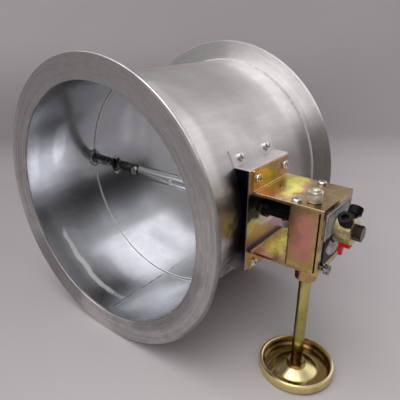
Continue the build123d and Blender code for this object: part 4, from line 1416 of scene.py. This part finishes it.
@dataclass
class GearBox:
    """The gear housing with the worm wheel, dial, hub and pointer.

    Attributes:
        face: The middle of the dial's face, on the shaft's axis.
        field: The border's half width and its top, from the axis.
        split: Where the dial's black part starts.
        line: The border's line width.
        scale: The white scale's inner and outer radius and its start and end in degrees.
        ledge: How far the scale's outline reaches past it, as a length.
        slack: The same, in degrees.
        white: The white field's foot over the dial's face, and its height.
        thin: The border's foot and height.
        raised: The marks' foot and height.
        marks: How many parts the scale has.
        mark: The long marks' length, the short marks' length and the width of both.
        margin: How far the marks stay from the scale's ends, in degrees.
        figures: The figures with their angles in degrees.
        figure: Their distance from the scale's inner edge, size, lift and height.
    """

    face: Point = (161.0, 81.5, 3.0)
    field: Pair = (19.05, 14.6)
    split: float = -3.5
    line: float = 0.5
    scale: tuple[float, float, float, float] = (11.5, 20.6, -146.0, -34.0)
    ledge: float = 0.5
    slack: float = 1.5
    white: Pair = (-0.03, 0.09)
    thin: Pair = (-0.02, 0.08)
    raised: Pair = (-0.02, 0.14)
    marks: int = 9
    mark: Point = (2.4, 1.4, 0.4)
    margin: float = 6.0
    figures: tuple = (("0", -94.0), ("30", -116.0), ("60", -138.0), ("30", -72.0), ("60", -50.0))
    figure: tuple[float, float, float, float] = (2.6, 3.2, 0.06, 0.1)

    def seat(self, lift: float, turn: float = 0.0) -> Seat:
        """Returns a seat over the dial's face."""
        x, y, z = self.face
        return Seat((x + lift, y, z), (1.0, 0.0, 0.0), turn)

    def white_scale(self) -> None:
        """Builds the scale's white field."""
        mould = Mould()
        foot, height = self.white
        mould.prism(self.seat(foot), band(*self.scale), height)
        mould.piece("dial_scale", Palette.WHITE)

    def border(self, mould: Mould) -> None:
        """Adds the border and the line between the light and the black part."""
        x, y = self.field
        foot, height = self.thin
        middle, tall = (y + self.split) / 2, y - self.split
        for size, at in (
            ((2 * x, self.line), (0.0, y)),
            ((self.line, tall), (-x, middle)),
            ((self.line, tall), (x, middle)),
            ((2 * x, 0.9), (0.0, self.split + 0.6)),
        ):
            mould.prism(self.seat(foot), rectangle(*size, at), height)

    def dark_print(self) -> None:
        """Builds the border, the scale's outline, its marks and its figures."""
        mould = Mould()
        self.border(mould)
        inner, outer, start, end = self.scale
        foot, height = self.raised
        for low, high in ((inner - self.ledge, inner + 0.15), (outer - 0.15, outer + self.ledge)):
            outline = band(low, high, start - self.slack, end + self.slack)
            mould.prism(self.seat(foot), outline, height)
        long, short, width = self.mark
        for number in range(self.marks + 1):
            step = (end - start - 2 * self.margin) * number / self.marks
            length = short if number % 3 else long
            mark = rectangle(length, width, (outer - width - length / 2, 0.0))
            mould.prism(self.seat(foot, start + self.margin + step), mark, height)
        away, size, lift, height = self.figure
        x, y, z = self.face
        radius = inner + away
        for text, angle in self.figures:
            at = (x + lift, y + radius * cos(radians(angle)), z + radius * sin(radians(angle)))
            mould.lettering(Seat(at, (1.0, 0.0, 0.0), angle + 90.0), text, size, height)
        mould.piece("dial_marks", Palette.PRINT)

    def build(self) -> None:
        """Dresses the gear box and prints the dial."""
        self.white_scale()
        self.dark_print()
        dress_nodes(Palette.PANEL, "gear_housing")
        dress_nodes(Palette.BRASS, "worm_wheel", "hub")
        dress_nodes(Palette.OXIDE, "hub_screws")
        dress_nodes(Palette.BROWNED, "hub_bolt")
        dress_nodes(Palette.RED, "pointer")
        dress_nodes(Palette.DIAL, "dial_plate")


@dataclass
class Handwheel:
    """The worm's rod with its nut, and the dish that turns it.

    Attributes:
        axis: The rod's place in x and y.
        nut_top: The nut's top.
        stud_r: The stud's radius.
        pitch: The step of its last threads, in depth and in height.
    """

    axis: Pair = (148.3, 67.0)
    nut_top: float = 32.0
    stud_r: float = 3.1
    pitch: float = 0.25

    def stud(self) -> None:
        """Builds the stud's domed end with its last threads."""
        mould = Mould()
        r, pitch = self.stud_r, self.pitch
        threads = [(r - pitch * (number % 2), 0.3 + pitch * number) for number in range(4)]
        dome = [(0.0, 1.9), (0.5 * r, 1.75), (0.85 * r, 1.4)]
        profile = dome + threads[::-1] + [(r, -0.2), (0.0, -0.2)]
        mould.turned(Seat((*self.axis, self.nut_top), (0.0, 0.0, 1.0)), tuple(profile), 24)
        mould.piece("stud_end", Palette.PALE_NUT, 50.0, Body.HANDWHEEL)

    def build(self) -> None:
        """Dresses the handwheel and builds the stud's end."""
        self.stud()
        dress_nodes(Palette.ROD, "worm_shaft")
        dress_nodes(Palette.PALE_NUT, "top_nut")
        dress_nodes(Palette.LOW_NUT, "dish_nuts")
        dress_nodes(Palette.DISH, "handwheel_dish")


@dataclass
class Studio:
    """The floor, backdrop, lamp, surroundings and camera, in metres and degrees.

    Attributes:
        tilt: How far the floor leans about the duct's axis.
        drop: The floor's distance under the duct's axis.
        azimuth: The camera's turn about the vertical.
        elevation: Its height above the horizon.
        roll: Its roll.
        eye: Its place.
        focal_px: Its focal length in pixels of the square photograph.
        frame_px: The photograph's width in pixels.
        sensor: The camera's sensor width in millimetres.
        reach: Half the floor's width.
        wall_away: The distance from the camera's foot to where the cove turns up.
        wall_turn: The backdrop's turn about the vertical.
        wall_height: Its height.
        cove: The radius between floor and backdrop.
        cove_steps: How many parts the cove has.
        sky: The strength of the air below and above.
        air: The air's tone.
        glows: Azimuth, elevation, inner and outer angle, and how much each adds, or takes away
            if below 0.
        aim: Where the lamp points.
        lamp: Its azimuth, elevation and distance.
        lamp_size: Its width and height.
        watts: Its power.
    """

    tilt: float = 1.7
    drop: float = 117.5 * MM
    azimuth: float = 37.97
    elevation: float = 23.24
    roll: float = 0.27
    eye: Point = (0.25341, -0.19435, 0.14099)
    focal_px: float = 434.27
    frame_px: float = 400.0
    sensor: float = 36.0
    reach: float = 3.0
    wall_away: float = 0.69
    wall_turn: float = 47.2
    wall_height: float = 0.33
    cove: float = 0.06
    cove_steps: int = 12
    sky: Pair = (0.09, 0.49)
    air: Colour = (1.0, 0.985, 0.985)
    glows: tuple = (
        (-2.0, 55.0, 18.0, 62.0, 0.46),
        (150.0, 27.0, 6.0, 32.0, 0.5),
        (0.0, 84.0, 6.0, 22.0, 1.3),
        (14.0, 20.0, 6.0, 24.0, 0.45),
        (60.0, 0.0, 12.0, 38.0, -0.82),
        (96.0, 26.0, 12.0, 44.0, -0.65),
    )
    aim: Point = (0.02, 0.08, 0.0)
    lamp: Point = (-14.0, 60.0, 1.3)
    lamp_size: Pair = (1.4, 1.2)
    watts: float = 8.0

    @staticmethod
    def clear() -> None:
        """Removes Blender's own start-up objects."""
        for name in ("Cube", "Light", "Camera"):
            found = bpy.data.objects.get(name)
            if found:
                bpy.data.objects.remove(found, do_unlink=True)

    @staticmethod
    def heading(azimuth: float, elevation: float) -> Vector:
        """Returns the direction towards an azimuth and elevation."""
        a, e = radians(azimuth), radians(elevation)
        return Vector((sin(a) * cos(e), -cos(a) * cos(e), sin(e)))

    def outline(self) -> list[Pair]:
        """Returns the paper's section, from behind the camera to the backdrop's top."""
        cove = self.cove
        flat = self.wall_away - 0.4 * cove
        points = [(-self.reach, 0.0), (flat, 0.0)]
        for step in range(1, self.cove_steps + 1):
            turn = step * pi / 2 / self.cove_steps
            points.append((flat + cove * sin(turn), cove - cove * cos(turn)))
        return points + [(flat + cove, self.wall_height)]

    def floor(self) -> None:
        """Builds the floor and the low backdrop as one sheet with a round cove."""
        up = Vector((sin(radians(self.tilt)), 0.0, cos(radians(self.tilt))))
        turn = radians(self.wall_turn)
        away = Vector((-sin(turn), cos(turn), 0.0))
        away = (away - away.dot(up) * up).normalized()
        side = away.cross(up)
        start = Vector(self.eye)
        start -= (start.dot(up) + self.drop) * up + self.reach * side
        shape = bmesh.new()
        rows = [shape.verts.new(start + d * away + h * up) for d, h in self.outline()]
        edges = [shape.edges.new(pair) for pair in zip(rows, rows[1:])]
        swept = bmesh.ops.extrude_edge_only(shape, edges=edges)["geom"]
        moved = [g for g in swept if isinstance(g, bmesh.types.BMVert)]
        bmesh.ops.translate(shape, vec=2 * self.reach * side, verts=moved)
        for face in shape.faces:
            face.smooth = True
            if face.normal.dot(up - away) < 0.0:
                face.normal_flip()
        mesh = bpy.data.meshes.new("studio_sweep")
        mesh.materials.append(Palette.FLOOR.material())
        shape.to_mesh(mesh)
        shape.free()
        sweep = bpy.data.objects.new("studio_sweep", mesh)
        bpy.context.scene.collection.objects.link(sweep)

    def surroundings(self) -> None:
        """Builds the room around the damper: pale above, soft bright sides and dim ones."""
        world = bpy.data.worlds.new("studio_air")
        bpy.context.scene.world = world
        world.use_nodes = True
        world.node_tree.nodes.clear()
        bench = Bench(world.node_tree)
        way = bench.value("TexCoord", output="Generated")
        level = way.split()[2].span(-0.1, 0.45, *self.sky)
        for azimuth, elevation, inner, outer, amount in self.glows:
            facing = way.dot(self.heading(azimuth, elevation))
            glow = facing.span(cos(radians(outer)), cos(radians(inner)), 0.0, amount)
            level = level + glow if amount > 0 else level * (glow + 1.0)
        light = bench.value("Background", {"Color": self.air, "Strength": level})
        bench.node("OutputWorld", {"Surface": light})

    def top_lamp(self) -> None:
        """Places the soft lamp, aimed at the duct."""
        aim = Vector(self.aim)
        azimuth, elevation, distance = self.lamp
        lamp = bpy.data.lights.new("top_lamp", "AREA")
        lamp.shape = "RECTANGLE"
        lamp.size, lamp.size_y = self.lamp_size
        lamp.energy = self.watts
        held = bpy.data.objects.new("top_lamp", lamp)
        held.location = aim + distance * self.heading(azimuth, elevation)
        held.rotation_euler = (aim - held.location).to_track_quat("-Z", "Y").to_euler()
        bpy.context.scene.collection.objects.link(held)

    def camera(self) -> None:
        """Places the camera at the photograph's viewpoint."""
        turn = radians(self.azimuth)
        back = self.heading(self.azimuth, self.elevation)
        right = Vector((cos(turn), sin(turn), 0.0))
        axes = Matrix((right, back.cross(right), back)).transposed()
        axes = axes @ Matrix.Rotation(radians(self.roll), 3, "Z")
        lens = bpy.data.cameras.new("photo_camera")
        lens.sensor_width = self.sensor
        lens.lens = self.focal_px * self.sensor / self.frame_px
        lens.clip_start = 0.01
        lens.clip_end = 20.0
        held = bpy.data.objects.new("photo_camera", lens)
        held.matrix_world = Matrix.Translation(self.eye) @ axes.to_4x4()
        bpy.context.scene.collection.objects.link(held)
        bpy.context.scene.camera = held

    def build(self) -> None:
        """Builds the studio."""
        self.floor()
        self.surroundings()
        self.top_lamp()
        self.camera()
        bpy.context.scene.view_settings.view_transform = "Standard"


def main() -> None:
    """Builds the damper and its studio."""
    logging.basicConfig(level=logging.INFO, format="%(message)s")
    studio = Studio()
    studio.clear()
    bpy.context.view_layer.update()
    for part in (DuctShell(), BladeSet(), Bracket(), GearBox(), Handwheel()):
        part.build()
    studio.build()


if __name__ == "__main__":
    main()
